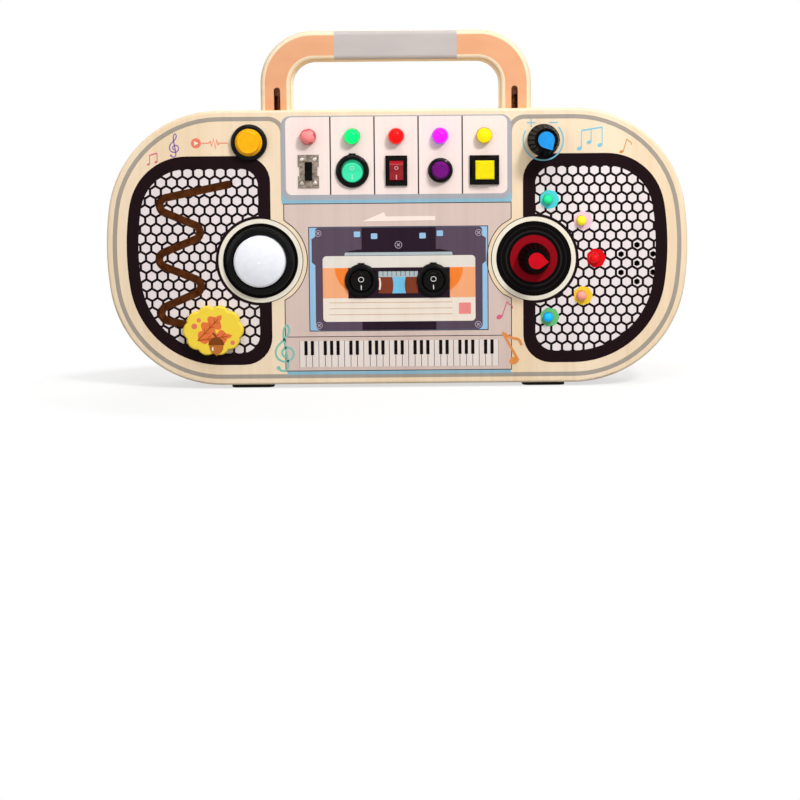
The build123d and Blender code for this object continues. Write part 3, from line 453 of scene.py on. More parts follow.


# 0C7E5A is the painted shade of the crescent above the bright face
dress(rocker_with_painted_crescent("green_rocker_cap", "#38DCA4", "#0C7E5A", 1.1, 5.2), "green_rocker_cap")
print("finishes so far:", len(bpy.data.materials))

# %% Lamps
LAMPS = {                   # light in the middle, resin at the rim, glow, cloudiness
    # The pink lamp is not lit: its faint glow and its strong cloud are painted light, patches that
    # stand for highlights on its facets.
    "lamp_pink": ("#FA8A88", "#B82040", 0.12, 1.3),
    "lamp_green": ("#00F468", "#046A34", 1.5),
    "lamp_red": ("#FF0808", "#700204", 1.7),
    "lamp_purple": ("#E410FF", "#6C14A0", 1.7),
    "lamp_yellow": ("#FFE808", "#A88604", 0.8),
    "small_lamp_green": ("#20E090", "#10A870", 0.3),
    "small_lamp_yellow": ("#F6E430", "#D0BC18", 0.3),
    "small_lamp_red": ("#FF1018", "#D00810", 0.5),
    "small_lamp_pink": ("#F09888", "#D87868", 0.2),
    "small_lamp_blue": ("#18B0F8", "#0878C8", 0.3),
}
LAMP_FLANGE = 0.6           # how far the lip of a lamp stands out from its dome, mm
RIMWARD = (0.84, 1.02)      # where the rim's colour starts and is full, in radii of the dome
LIT = 0.3                   # a lamp that glows more than this needs less light from outside
LIT_COLOUR = 0.35           # and keeps this much of its colour for it


def lamp_resin(node, core, rim, glow, cloud_and_glints=0.2):
    """Clear coloured resin over a light: brightest on its axis, deeper in colour at the rim."""
    f = Finish(node + "_resin", {"Coat Weight": 0.06, "Coat Roughness": 0.05, "Roughness": 0.3,
                                 "Specular IOR Level": 0.08, "Emission Strength": glow})
    low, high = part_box(node)
    dome = (high.x - low.x) / 2 - LAMP_FLANGE * MM
    haze = f.noise(500.0)
    # The noise moves core against rim: haze in most lamps. In the pink lamp it is strong and paints
    # bright patches, a painted highlight.
    out = f.off_axis(node) * (1.0 / dome) + (haze - 0.5) * cloud_and_glints
    shade = f.colours(f.between(out, *RIMWARD), tint(core), tint(rim))
    dim = (LIT_COLOUR, LIT_COLOUR, LIT_COLOUR, 1.0)
    f.feed("Base Color", f.colours(1.0, shade, dim, "MULTIPLY") if glow > LIT else shade)
    f.feed("Emission Color", shade)
    return f.material


for node, look in LAMPS.items():
    dress(lamp_resin(node, *look), node)
print("lamps:", len(LAMPS))

# %% [markdown]
# ## How ink is laid on the panel
#
# The front is screen printed in flat colours, one over another, so close that only their order
# tells. Each colour is modelled as what it is: a very thin closed film in the shape of its
# stencil, a few hundredths of a millimetre proud, with later colours standing over earlier ones.
# Films keep every edge crisp at any zoom, and they survive an export that knows nothing of
# Blender's textures. The stencil class below gathers shapes of one colour into one mesh.

# %% Outlines drawn with few numbers


def arc(x, z, radius, start, end, steps=24):
    """Points on an arc, angles in degrees from 3 o'clock, both ends included."""
    points = []
    for step in range(steps + 1):
        turn = math.radians(start + (end - start) * step / steps)
        points.append((x + radius * math.cos(turn), z + radius * math.sin(turn)))
    return points


def circle(x, z, radius, steps=48):
    """Points round a circle, anticlockwise."""
    return arc(x, z, radius, 0, 360 - 360 / steps, steps - 1)


def rounded(left, low, right, high, radius, steps=6):
    """A rectangle with round corners, anticlockwise."""
    corners = ((right - radius, low + radius, -90), (right - radius, high - radius, 0),
               (left + radius, high - radius, 90), (left + radius, low + radius, 180))
    points = []
    for x, z, start in corners:
        points += arc(x, z, radius, start, start + 90, steps)
    return points


def square(left, low, right, high):
    """An upright rectangle, anticlockwise."""
    return [(left, low), (right, low), (right, high), (left, high)]


def mirrored(points, about=0.0):
    """Points mirrored left to right, in reverse order, so an outline keeps its sense."""
    return [(2 * about - x, z) for x, z in points][::-1]


def curve(points, steps=8):
    """A smooth line through a few points."""
    ends = [points[0]] + points + [points[-1]]
    line = []
    for a, b, c, d in zip(ends, ends[1:], ends[2:], ends[3:]):
        for step in range(steps):
            t = step / steps
            weights = ((2 - t) * t * t - t, (3 * t - 5) * t * t + 2, ((4 - 3 * t) * t + 1) * t,
                       (t - 1) * t * t)
            line.append(tuple(sum(w * p[i] for w, p in zip(weights, (a, b, c, d))) / 2
                              for i in (0, 1)))
    return line + [points[-1]]


def area(points):
    """The area inside an outline, above zero where it runs anticlockwise."""
    pairs = zip(points, points[1:] + points[:1])
    return sum(x0 * z1 - x1 * z0 for (x0, z0), (x1, z1) in pairs) / 2


print("area of a circle of radius 1:", round(area(circle(0, 0, 1)), 3))

# %% Stencils
FILM = 0.035                # how much one colour stands over the one below, mm
SUNK = 0.02                 # how far a film reaches into the wood, so that no gap shows
HAIR = 0.004                # how much one shape stands over the last in the same colour
HAIRS = 6                   # after so many shapes the hair starts again from nothing
SHARPEST = 0.4              # a sharp bend of a line reaches out half its width over this at most


def new_object(name, data):
    """An object in the scene."""
    made = bpy.data.objects.new(name, data)
    bpy.context.scene.collection.objects.link(made)
    return made


class Stencil:
    """Flat shapes of one colour, as one thin closed mesh. Higher levels lie over lower ones."""

    def __init__(self, level=1, base=0.0, where=place):
        self.near, self.far = base - level * FILM, base + SUNK
        self.where = where
        self.points, self.faces, self.laid = [], [], 0

    def row(self, outline, depth):
        """Corner points at a depth. Each shape is a hair above the last, so none coincide."""
        first, hair = len(self.points), HAIR * (self.laid % HAIRS)
        self.points += [self.where(x, depth - hair, z) for x, z in outline]
        return list(range(first, len(self.points)))

    def shape(self, outline):
        """One filled outline."""
        if area(outline) < 0:
            outline = outline[::-1]
        near, far = self.row(outline, self.near), self.row(outline, self.far)
        self.faces += [near, far[::-1]]
        for i, j in zip(range(len(near)), [*range(1, len(near)), 0]):
            self.faces.append([far[i], far[j], near[j], near[i]])
        self.laid += 1
        return self

    def between(self, outer, inner, closed=True):
        """The strip between two lines of as many points, the outer one anticlockwise."""
        on, inn = self.row(outer, self.near), self.row(inner, self.near)
        ob, ib = self.row(outer, self.far), self.row(inner, self.far)
        count = len(outer)
        for i in range(count if closed else count - 1):
            j = (i + 1) % count
            self.faces += [[on[i], on[j], inn[j], inn[i]], [ob[j], ob[i], ib[i], ib[j]],
                           [ob[i], ob[j], on[j], on[i]], [inn[i], inn[j], ib[j], ib[i]]]
        if not closed:
            self.faces += [[on[0], inn[0], ib[0], ob[0]], [inn[-1], on[-1], ob[-1], ib[-1]]]
        self.laid += 1
        return self

    def ring(self, x, z, outer, inner, steps=64):
        """A flat ring."""
        return self.between(circle(x, z, outer, steps), circle(x, z, inner, steps))

    def line(self, path, width, closed=False):
        """A line of even width along a path."""
        left, right = [], []
        count = len(path)
        for i, here in enumerate(path):
            here = Vector(here)
            before = Vector(path[i - 1]) if i or closed else None
            after = Vector(path[(i + 1) % count]) if i < count - 1 or closed else None
            into = (here - before).normalized() if before else (after - here).normalized()
            out = (after - here).normalized() if after else into
            lean = (into + out).normalized()
            reach = width / 2 / max(SHARPEST, lean.dot(out))
            side = Vector((lean.y, -lean.x)) * reach
            right.append(tuple(here + side))
            left.append(tuple(here - side))
        return self.between(right, left, closed)

    def mesh(self, name, material):
        """All the shapes as one object."""
        data = bpy.data.meshes.new(name)
        data.from_pydata(self.points, [], self.faces)
        data.materials.append(material)
        return new_object(name, data)


print("one film stands", FILM, "mm over the next")

# %% [markdown]
# ## The inks
#
# Screen ink on birch is matt and nearly opaque. The broad figure of the wood still shows through
# it as a slight change of tone, and the pores leave a fine relief. One recipe makes every ink from
# two tones of its colour, so a new colour is a single line in the table.

# %% Ink colours
INK_TONES = {
    "stripe": ("#ABA195", "#A0968A"), "border": ("#AEAEB4", "#A3A3A9"),
    "field": ("#1F1115", "#190D10"), "cell": ("#EDE3E3", "#E4D8D6"),
    "panel": ("#F8E6DF", "#F2DCD4"), "line": ("#33262A", "#2A1E22"), "sky": ("#93BDD0", "#86B0C4"),
    "zone": ("#DCC6BC", "#D2BAB0"), "arrow": ("#FBEAE0", "#F6E2D6"),
    "frame_blue": ("#9CC6E6", "#92BCDC"), "case_plum": ("#5E4E5E", "#554654"),
    "case_dark": ("#2C1D2A", "#251823"), "label": ("#E9E2D8", "#E0D8CC"),
    "label_low": ("#F5E8DA", "#EDDECE"), "orange_pale": ("#F9B080", "#F2A472"),
    "orange": ("#FC8838", "#F27C2C"), "rule": ("#D8B08C", "#CCA27C"),
    "pink": ("#F2928E", "#E88682"), "tape": ("#84402A", "#783824"),
    "tape_blue": ("#78C6E8", "#6CBADC"), "mist": ("#B6C2C6", "#ABB8BC"),
    "key_white": ("#ECE0D8", "#E4D6CE"), "key_black": ("#181012", "#120C0E"),
    "cream": ("#F5EDDD", "#ECE2CE"), "disc": ("#050303", "#080505"),
    "grey_ring": ("#2A2527", "#241F21"), "red_disc": ("#A00D1C", "#8C0A17"),
    "light_blue": ("#84C8DC", "#78BCD0"), "purple": ("#8A68B8", "#7E5CAC"),
    "rose": ("#DC6C8C", "#D06080"), "coral": ("#F0886A", "#E67C5E"), "teal": ("#86C8B8", "#7ABCAC"),
    "ochre": ("#D8904C", "#CC8442"), "amber": ("#E89850", "#DE8C44"),
    "aqua": ("#58DCE4", "#4CD0D8"), "lilac": ("#F0CCDC", "#E8C0D0"), "red": ("#E4121C", "#D80C16"),
    "yellow": ("#F6CE3C", "#ECC230"), "green": ("#74C67C", "#68BA70"),
    "oak": ("#F08048", "#E4703A"), "oak_line": ("#B85424", "#A84A1E"),
    "nut": ("#C87838", "#B86A2E"), "cup": ("#8A4A22", "#7A3E1A"), "white": ("#F4F0EE", "#ECE6E2"),
    "scorch": ("#4A2410", "#3A1A0A"), "pale_pink": ("#F0B8BC", "#E8AAB0"),
    "screw_mark": ("#BDB0BC", "#B0A3AF"), "pale_green": ("#C0F8DC", "#B0ECCC"),
}


def ink(name):
    """Matt screen ink through which the figure of the wood still shows a little."""
    tone, deep = INK_TONES[name]
    f = Finish("ink_" + name, {"Specular IOR Level": 0.04})
    figure, streaks, pores = grain(f)
    shift = f.between(figure, 0.3, 0.75) * 0.5 + f.between(streaks, 0.35, 0.75) * 0.5
    f.feed("Base Color", f.colours(shift, tint(tone), tint(deep)))
    f.feed("Roughness", pores * 0.2 + 0.5)
    f.bump(pores, 0.00003)
    return f.material


INKS = {name: ink(name) for name in INK_TONES}
print("inks:", len(INKS))

# %% [markdown]
# ## Where the panel is open
#
# The panel is printed whole and drilled afterwards, so ink stops exactly at each hole. The holes
# are gathered once into a punch, and every film is cut with it. The punch takes its places from
# the solid model's boxes: the middle of a button is the middle of its box, whatever its size.

# %% Where pieces are, from their boxes


def middle(node):
    """Panel coordinates of the middle of a piece."""
    low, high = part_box(node)
    return ((low.x + high.x) / 2 / MM, (low.z + high.z) / 2 / MM - PANEL_MIDDLE)


def boxed(node):
    """A piece's front depth and its half width and half height, in millimetres."""
    low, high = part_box(node)
    return (low.y / MM + PANEL_DEPTH, (high.x - low.x) / 2 / MM, (high.z - low.z) / 2 / MM)


print("middle of the domed button:", [round(v, 1) for v in middle("dome_button_plunger")])

# %% The wavy slot and the vents
TRACK = [(-86.2, 33.2), (-131.6, 24.0), (-95.0, 8.6), (-129.5, -5.3), (-95.0, -19.2),
         (-131.6, -34.6), (-95.1, -42.0)]
TRACK_BEND, TRACK_HALF = 4.0, 1.9       # radius of the bends, half width of the slot
VENT_MIDDLE, VENT_PITCH, VENT_CORNER = (123.8, -9.3), 9.5, 1.62
BEND_STEPS = 8


def bent(path, radius):
    """A path whose corners are rounded with arcs."""
    points = [path[0]]
    for before, here, after in zip(path, path[1:], path[2:]):
        p, q, r = Vector(before), Vector(here), Vector(after)
        a, b = (p - q).normalized(), (r - q).normalized()
        half = a.angle(b) / 2
        centre = q + (a + b).normalized() * (radius / math.sin(half))
        first = q + a * (radius / math.tan(half)) - centre
        last = q + b * (radius / math.tan(half)) - centre
        turn = -first.angle_signed(last) / BEND_STEPS
        points += [tuple(centre + Matrix.Rotation(turn * step, 2) @ first)
                   for step in range(BEND_STEPS + 1)]
    return points + [path[-1]]


def slot_outline(half):
    """The wavy slot's outline, with round ends."""
    line = Stencil().line(bent(TRACK, TRACK_BEND), 2 * half)
    count = len(line.points) // 4
    flat = [(p.x / MM, p.z / MM - PANEL_MIDDLE) for p in line.points]
    right, left = flat[:count], flat[count:2 * count]
    ends = []
    for tip, side in ((TRACK[-1], right[-1]), (TRACK[0], left[0])):
        start = math.degrees(math.atan2(side[1] - tip[1], side[0] - tip[0]))
        ends.append(arc(*tip, half, start, start + 180, 8)[1:-1])
    return right + ends[0] + left[::-1] + ends[1]


def vent_places():
    """Middles of the seven vents: one, and six round it."""
    x, z = VENT_MIDDLE
    return [VENT_MIDDLE] + arc(x, z, VENT_PITCH, 30, 330, 5)


print("vents:", len(vent_places()))

# %% The punch
LAMP_COVER, CAP_CLEAR, SHAFT_CLEAR = 0.4, 1.0, 0.7  # ink under a lamp's lip, gaps round the rest


def holes():
    """Outlines of every hole that shows: slot, vents, lamps, buttons, switches and shafts."""
    outlines = [slot_outline(TRACK_HALF)]
    outlines += [arc(x, z, VENT_CORNER, 30, 330, 5) for x, z in vent_places()]
    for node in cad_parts:
        x, z = middle(node)
        _, reach, rise = boxed(node)
        if "lamp_" in node:
            outlines.append(circle(x, z, reach - LAMP_COVER, 32))
        elif node in ("yellow_button_cap", "purple_button_cap", "dome_button_plunger",
                      "green_rocker_cap", "left_reel_cap", "right_reel_cap"):
            outlines.append(circle(x, z, reach + CAP_CLEAR))
        elif node in ("square_button_cap", "red_rocker_cap", "slide_switch_body"):
            spare = 0.0 if node == "slide_switch_body" else CAP_CLEAR
            wide, high = reach + spare, rise + spare
            outlines.append(square(x - wide, z - high, x + wide, z + high))
        elif node.endswith("_shaft"):
            outlines.append(circle(x, z, reach + SHAFT_CLEAR))
    return outlines


PUNCH = holes()
print("holes in the print:", len(PUNCH))

# %% Cutting and printing
PUNCH_REACH = 3.0           # how far the punch runs past the film, mm


def settle(piece):
    """Makes the result of a piece's modifiers its own plain mesh."""
    graph = bpy.context.evaluated_depsgraph_get()
    data = bpy.data.meshes.new_from_object(piece.evaluated_get(graph))
    piece.modifiers.clear()
    piece.data = data


def carve(piece, tool, operation="DIFFERENCE"):
    """Cuts a piece with a tool that is thrown away afterwards."""
    modifier = piece.modifiers.new("carve", "BOOLEAN")
    modifier.operation = operation
    modifier.solver = "EXACT"
    modifier.object = tool
    settle(piece)
    bpy.data.objects.remove(tool)


def trim(film, outlines, operation="DIFFERENCE"):
    """Cuts a film with prisms over these outlines, or keeps only what lies in them."""
    cutter = Stencil(PUNCH_REACH / FILM)
    cutter.far = PUNCH_REACH
    for outline in outlines:
        cutter.shape(outline)
    carve(film, cutter.mesh("punch", INKS["line"]), operation)


def printed(name, stencil, colour, body="case", punched=True):
    """Turns a stencil into a film that rides on its body."""
    made = stencil.mesh("print_" + name, INKS[colour])
    if punched:
        trim(made, PUNCH)
    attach(made, body)


print("the punch reaches", PUNCH_REACH, "mm to both sides")

# %% [markdown]
# ## The speaker fields
#
# Each side of the front has a dark field that follows the body's outline, with a window of pale
# honeycomb. The outline is worked out rather than drawn: arcs set in from the body's own arcs,
# one blend arc at the top, and two plain corners beside the middle. The window is the same
# outline again with a larger inset.

# %% Outlines that follow the body
BODY_CORNER = (91.08, 13.0, 58.0)   # centre of the corner arc and its radius
SIDE = 150.0                        # radius of the long arc at each end
SIDE_TILT = math.degrees(math.atan2(BODY_CORNER[1], BODY_CORNER[0]))
BODY_TOP = BODY_CORNER[1] + BODY_CORNER[2]


def left_side(inset, start=90.0):
    """The left end of the body's outline, set in, from an angle on its upper corner arc down."""
    x, z, radius = BODY_CORNER
    points = arc(-x, z, radius - inset, start, 180 - SIDE_TILT, 14)
    points += arc(0, 0, SIDE - inset, 180 - SIDE_TILT, 180 + SIDE_TILT, 12)[1:]
    return points + arc(-x, -z, radius - inset, 180 + SIDE_TILT, 270, 20)[1:]


def field(inset, inner_x, top, corner_top, corner_low, blend):
    """Outline of the left speaker field, anticlockwise."""
    x, z, radius = BODY_CORNER
    reach = radius - inset
    lift = top - blend - z
    blend_x = -x - math.sqrt((reach - blend) ** 2 - lift ** 2)
    meet = math.degrees(math.atan2(lift, blend_x + x))
    points = arc(-inner_x - corner_top, top - corner_top, corner_top, 0, 90, 8)
    points += arc(blend_x, top - blend, blend, 90, meet, 14)
    points += left_side(inset, meet)[1:]
    return points + arc(-inner_x - corner_low, corner_low - z - reach, corner_low, 270, 360, 8)


outer_field = field(inset=10.5, inner_x=65.0, top=47.7, corner_top=13.5, corner_low=14.5,
                    blend=30.0)
inner_field = field(inset=16.6, inner_x=71.3, top=41.1, corner_top=9.0, corner_low=10.0,
                    blend=24.0)
for word, outline in (("left", outer_field), ("right", mirrored(outer_field))):
    printed("field_" + word, Stencil(1).shape(outline), "field")
print("points in a field's outline:", len(outer_field))

# %% [markdown]
# ## The honeycomb
#
# The honeycomb repeats hundreds of times, so Geometry Nodes lay it out: a grid of points, every
# second row shifted by half a cell, and a six-sided film on each point. The tree has named inputs
# for the pitch and the size of a cell. Its result is made a plain mesh, then trimmed to the window,
# round the printed loudspeaker, and by the punch. On the right, one cell falls on each sound vent,
# so that a thin pale rim is left round the vent.

# %% A tree that is made a node at a time


class Growth:
    """A Geometry Nodes tree with named inputs that is made a node at a time."""

    def __init__(self, name, **inputs):
        self.tree = bpy.data.node_groups.new(name, "GeometryNodeTree")
        face = self.tree.interface
        face.new_socket("Geometry", in_out="OUTPUT", socket_type="NodeSocketGeometry")
        kinds = {int: "NodeSocketInt", float: "NodeSocketFloat", type(None): "NodeSocketMaterial",
                 bpy.types.Object: "NodeSocketObject"}
        self.keys = {}
        for word, value in inputs.items():
            made = face.new_socket(word, in_out="INPUT", socket_type=kinds[type(value)])
            self.keys[word] = made.identifier
        self.values = inputs
        self.given = self.tree.nodes.new("NodeGroupInput").outputs

    def add(self, kind, settings=None, inputs=None, out=0):
        """One node: its settings first, then its sockets. Returns the output asked for."""
        made = self.tree.nodes.new(kind)
        for key, value in (settings or {}).items():
            setattr(made, key, value)
        for key, value in (inputs or {}).items():
            if isinstance(value, bpy.types.NodeSocket):
                self.tree.links.new(value, made.inputs[key])
            else:
                made.inputs[key].default_value = value
        return made.outputs[out]

    def maths(self, operation, first, second=0.0):
        """One sum on numbers."""
        return self.add("ShaderNodeMath", {"operation": operation}, {0: first, 1: second})

    def at(self, x, z):
        """A place on the panel."""
        return self.add("ShaderNodeCombineXYZ", None, {"X": x, "Z": z})

    def copies(self, count, spot, shape, keep=True):
        """The shape at each of so many spots, as real mesh."""
        points = self.add("GeometryNodePoints", None, {"Count": count, "Position": spot})
        many = self.add("GeometryNodeInstanceOnPoints", None,
                        {"Points": points, "Instance": shape, "Selection": keep})
        return self.add("GeometryNodeRealizeInstances", None, {"Geometry": many})

    def finish(self, geometry, material):
        """The last two nodes: a material on the mesh, and the way out."""
        inked = self.add("GeometryNodeSetMaterial", None,
                         {"Geometry": geometry, "Material": material})
        out = self.tree.nodes.new("NodeGroupOutput")
        self.tree.links.new(inked, out.inputs[0])

    def grow(self, name, corner, **values):
        """Runs the tree and returns its result as one plain mesh with its corner in place."""
        seed = new_object(name, bpy.data.meshes.new(name))
        modifier = seed.modifiers.new("grow", "NODES")
        modifier.node_group = self.tree
        for word, value in {**self.values, **values}.items():
            modifier[self.keys[word]] = value
        settle(seed)
        seed.data.transform(Matrix.Translation(corner))
        return seed


print("made: a builder for Geometry Nodes trees")

# %% The honeycomb tree
HEX_PITCH, HEX_ROW, HEX_CELL = 5.58, 4.82, 2.5  # between cells, between rows, radius of a cell
CELL_FILM = 4 * FILM
comb = Growth("honeycomb", Columns=16, Rows=24, Pitch=HEX_PITCH * MM, Row=HEX_ROW * MM,
              Cell=HEX_CELL * MM, Film=CELL_FILM * MM, Ink=None)
cells = comb.add("FunctionNodeIntegerMath", {"operation": "MULTIPLY"},
                 {0: comb.given["Columns"], 1: comb.given["Rows"]})
index = comb.add("GeometryNodeInputIndex")
row = comb.maths("FLOOR", comb.maths("DIVIDE", index, comb.given["Columns"]))
column = comb.maths("SUBTRACT", index, comb.maths("MULTIPLY", row, comb.given["Columns"]))
shifted = comb.maths("ADD", column, comb.maths("MULTIPLY", comb.maths("MODULO", row, 2.0), 0.5))
spot = comb.at(comb.maths("MULTIPLY", shifted, comb.given["Pitch"]),
               comb.maths("MULTIPLY", row, comb.given["Row"]))
cell = comb.add("GeometryNodeMeshCylinder", {"fill_type": "NGON"},
                {"Vertices": 6, "Radius": comb.given["Cell"], "Depth": comb.given["Film"]})
upright = comb.add("GeometryNodeTransform", None,
                   {"Geometry": cell, "Rotation": (math.pi / 2, math.radians(30), 0.0)})
comb.finish(comb.copies(cells, spot, upright), comb.given["Ink"])
print("nodes in the honeycomb tree:", len(comb.tree.nodes))

# %% Grow and trim the honeycomb
SPEAKER = middle("selector_shaft")
SPEAKER_CLEAR = 23.2        # radius that the honeycomb leaves free round a loudspeaker
SLOT_RIM = 0.12             # how far it keeps from the slot
WINDOWS = (                 # side, name, outline, where its first cell lies at most, one cell
    (-1, "left", inner_field, -148.0, (-107.3, 39.1)),
    (1, "right", mirrored(inner_field), 62.0, (124.1, -9.2)),
)
WINDOW_LOW = -68.0


def first_cell(through, low_x, low_z):
    """Corner of a lattice that has a cell at a given place, with an even number of rows to it."""
    x, z = through
    columns = math.floor((x - low_x) / HEX_PITCH)
    rows = 2 * math.floor((z - low_z) / HEX_ROW / 2)
    return x - columns * HEX_PITCH, z - rows * HEX_ROW


for side, word, window, low_x, one_cell in WINDOWS:
    x, z = first_cell(one_cell, low_x, WINDOW_LOW)
    comb_piece = comb.grow("print_honeycomb_" + word, place(x, 0, z), Ink=INKS["cell"])
    trim(comb_piece, [window], "INTERSECT")
    trim(comb_piece, [circle(side * SPEAKER[0], SPEAKER[1], SPEAKER_CLEAR, 96)])
    trim(comb_piece, [slot_outline(TRACK_HALF + SLOT_RIM)] + PUNCH[1:])
    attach(comb_piece, "case")
    print("honeycomb", word, len(comb_piece.data.polygons), "faces")

# %% [markdown]
# ## The printed loudspeakers
#
# Round the domed button and round the selector knob, a black disc inside a cream ring stands for a
# loudspeaker. The selector also has a red dial with a grey rim. The volume knob has a thin blue
# ring that is open at the top, between a plus and a minus.

# %% Discs and dials
DISC, CREAM_RING = 19.4, 21.9       # radii
DIAL = (12.4, 4.0)
DIAL_EDGE = (12.7, 12.2)
RIMS = ((14.6, 13.8), (16.9, 16.6))
for side, word in ((-1, "left"), (1, "right")):
    x, z = side * SPEAKER[0], SPEAKER[1]
    edge = Stencil(4).ring(x, z, CREAM_RING + 0.15, CREAM_RING - 0.2)
    printed("cream_ring_" + word, Stencil(3).ring(x, z, CREAM_RING, DISC - 0.3), "cream")
    printed("ring_edge_" + word, edge, "line")
    printed("disc_" + word, Stencil(4).shape(circle(x, z, DISC, 72)), "disc")

x, z = SPEAKER
rims = Stencil(5)
for outer, inner in RIMS:
    rims.ring(x, z, outer, inner)
printed("dial_rims", rims, "grey_ring")
printed("dial", Stencil(5).ring(x, z, *DIAL), "red_disc")
printed("dial_edge", Stencil(6).ring(x, z, *DIAL_EDGE), "disc")
print("dial:", 2 * DIAL[0], "mm across")

# %% Volume scale with minus and plus
SCALE_RADIUS, SCALE_WIDE = 10.3, 0.75
SIGNS_X, SIGNS_Z = (-6.2, 5.3), 9.0         # middles of the plus and the minus, from the shaft
SIGN_LONG, SIGN_TALL, SIGN_THICK = 4.4, 4.2, 0.6
x, z = middle("volume_shaft")
volume = Stencil(2).line(arc(x, z, SCALE_RADIUS, 151, 401, 48), SCALE_WIDE)
for dx in SIGNS_X:
    left, low = x + dx - SIGN_LONG / 2, z + SIGNS_Z - SIGN_THICK / 2
    volume.shape(square(left, low, left + SIGN_LONG, low + SIGN_THICK))
left, arm = x + SIGNS_X[0] - SIGN_THICK / 2, (SIGN_TALL - SIGN_THICK) / 2
for low in (SIGN_THICK / 2, -SIGN_THICK / 2 - arm):
    foot = z + SIGNS_Z + low
    volume.shape(square(left, foot, left + SIGN_THICK, foot + arm))
printed("volume_scale", volume, "light_blue")
print("volume scale:", 2 * SCALE_RADIUS, "mm across")

# %% Blossoms under the small lamps
BLOSSOMS = {"green": "aqua", "yellow": "lilac", "red": "red", "pink": "yellow", "blue": "green"}
BLOSSOM_ASIDE, BLOSSOM_RADIUS = 0.9, 5.0    # a blossom lies a little to the right of its lamp
BLOSSOM_STEPS = 56


def blossom(x, z, radius, petals=7, depth=0.35):
    """A disc whose edge swells into shallow petals."""
    points = []
    for step in range(BLOSSOM_STEPS):
        turn = 2 * math.pi * step / BLOSSOM_STEPS
        reach = radius - depth * (0.5 - 0.5 * math.cos(petals * turn))
        points.append((x + reach * math.cos(turn), z + reach * math.sin(turn)))
    return points


for lamp, colour in BLOSSOMS.items():
    x, z = middle("small_lamp_" + lamp)
    shape = blossom(x + BLOSSOM_ASIDE, z, BLOSSOM_RADIUS)
    printed("blossom_" + lamp, Stencil(3).shape(shape), colour)
print("blossoms:", len(BLOSSOMS))

# %% [markdown]
# ## Stripe, button panel and cassette zone
#
# A grey stripe follows the outline of the body and turns down on each side of the button panel.
# The panel itself is pale pink in a grey border, split in five by dark lines. Below it, a tan zone
# curves in round both printed loudspeakers and carries the cassette and the keyboard.

# %% Grey stripe
STRIPE_INSET, STRIPE_WIDE, STRIPE_BEND = 4.4, 2.2, 7.6
STRIPE_X, STRIPE_FOOT = 58.3, 24.6
top = BODY_TOP - STRIPE_INSET
half = [(-STRIPE_X, STRIPE_FOOT)]
half += arc(-STRIPE_X - STRIPE_BEND, top - STRIPE_BEND, STRIPE_BEND, 0, 90, 10)
half += left_side(STRIPE_INSET)
stripe = half + mirrored(half)
printed("stripe", Stencil(1).line(stripe, STRIPE_WIDE), "stripe")
print("points along the stripe:", len(stripe))

# %% Button panel
BORDER, BORDER_CORNER = (-59.2, 24.8, 59.2, 67.9), 5.0     # left, low, right, high
PANEL, PANEL_CORNER = (-56.9, 27.4, 57.0, 67.3), 3.2
DIVIDER_HALF = 0.34
SKY_STRIPS = ((-59.2, 22.9, 59.2, 28.0), (-57.4, -65.9, 58.6, -64.0))
printed("panel_border", Stencil(3).shape(rounded(*BORDER, BORDER_CORNER)), "border")
printed("panel", Stencil(4).shape(rounded(*PANEL, PANEL_CORNER)), "panel")
pitch = middle("lamp_green")[0] - middle("lamp_pink")[0]
dividers = Stencil(5)
for step in (-1.5, -0.5, 0.5, 1.5):
    x = step * pitch
    dividers.shape(square(x - DIVIDER_HALF, PANEL[1], x + DIVIDER_HALF, PANEL[3]))
printed("dividers", dividers, "line")
sky = Stencil(2)
for strip in SKY_STRIPS:
    sky.shape(square(*strip))
printed("sky_strips", sky, "sky")
print("pitch of the button panel:", round(pitch, 2), "mm")

# %% Tan zone
ZONE_TOP, ZONE_FOOT = 22.8, -63.9
ZONE_LEFT, ZONE_RIGHT = 58.2, 58.9
HOLLOW_RADIUS, HOLLOW_LOW, HOLLOW_HIGH = 24.2, -26.9, 14.4
FINE = 0.4                  # width of the fine dark lines round the zone and the cassette
SHELF_LINE = (-46.3, -45.95)
ARROW = [(-17.6, 13.6), (19.7, 13.9), (19.7, 16.0), (-5.8, 16.0), (-6.6, 18.2)]
hollow = arc(*SPEAKER, HOLLOW_RADIUS, 229, 133, 20)


def zone_side(reach):
    """One side of the zone, from its foot up, with the hollow round the loudspeaker."""
    low, high = [(reach, ZONE_FOOT), (reach, HOLLOW_LOW)], [(reach, HOLLOW_HIGH), (reach, ZONE_TOP)]
    return low + hollow + high


zone = zone_side(ZONE_RIGHT) + mirrored(zone_side(ZONE_LEFT))
printed("zone", Stencil(2).shape(zone), "zone")
zone_edge = Stencil(3).line(zone, FINE, closed=True)
zone_edge.shape(square(-ZONE_LEFT, SHELF_LINE[0], ZONE_RIGHT, SHELF_LINE[1]))
printed("zone_edge", zone_edge, "line")
printed("arrow", Stencil(3).shape(ARROW), "arrow")
print("points round the zone:", len(zone))

# %% [markdown]
# ## The cassette
#
# The cassette is built up like the real thing: a plum case with a darker middle, a raised lip, a
# paper label with an orange band, and a window with two packs of tape. The two black rocker
# switches sit where its reels would be.

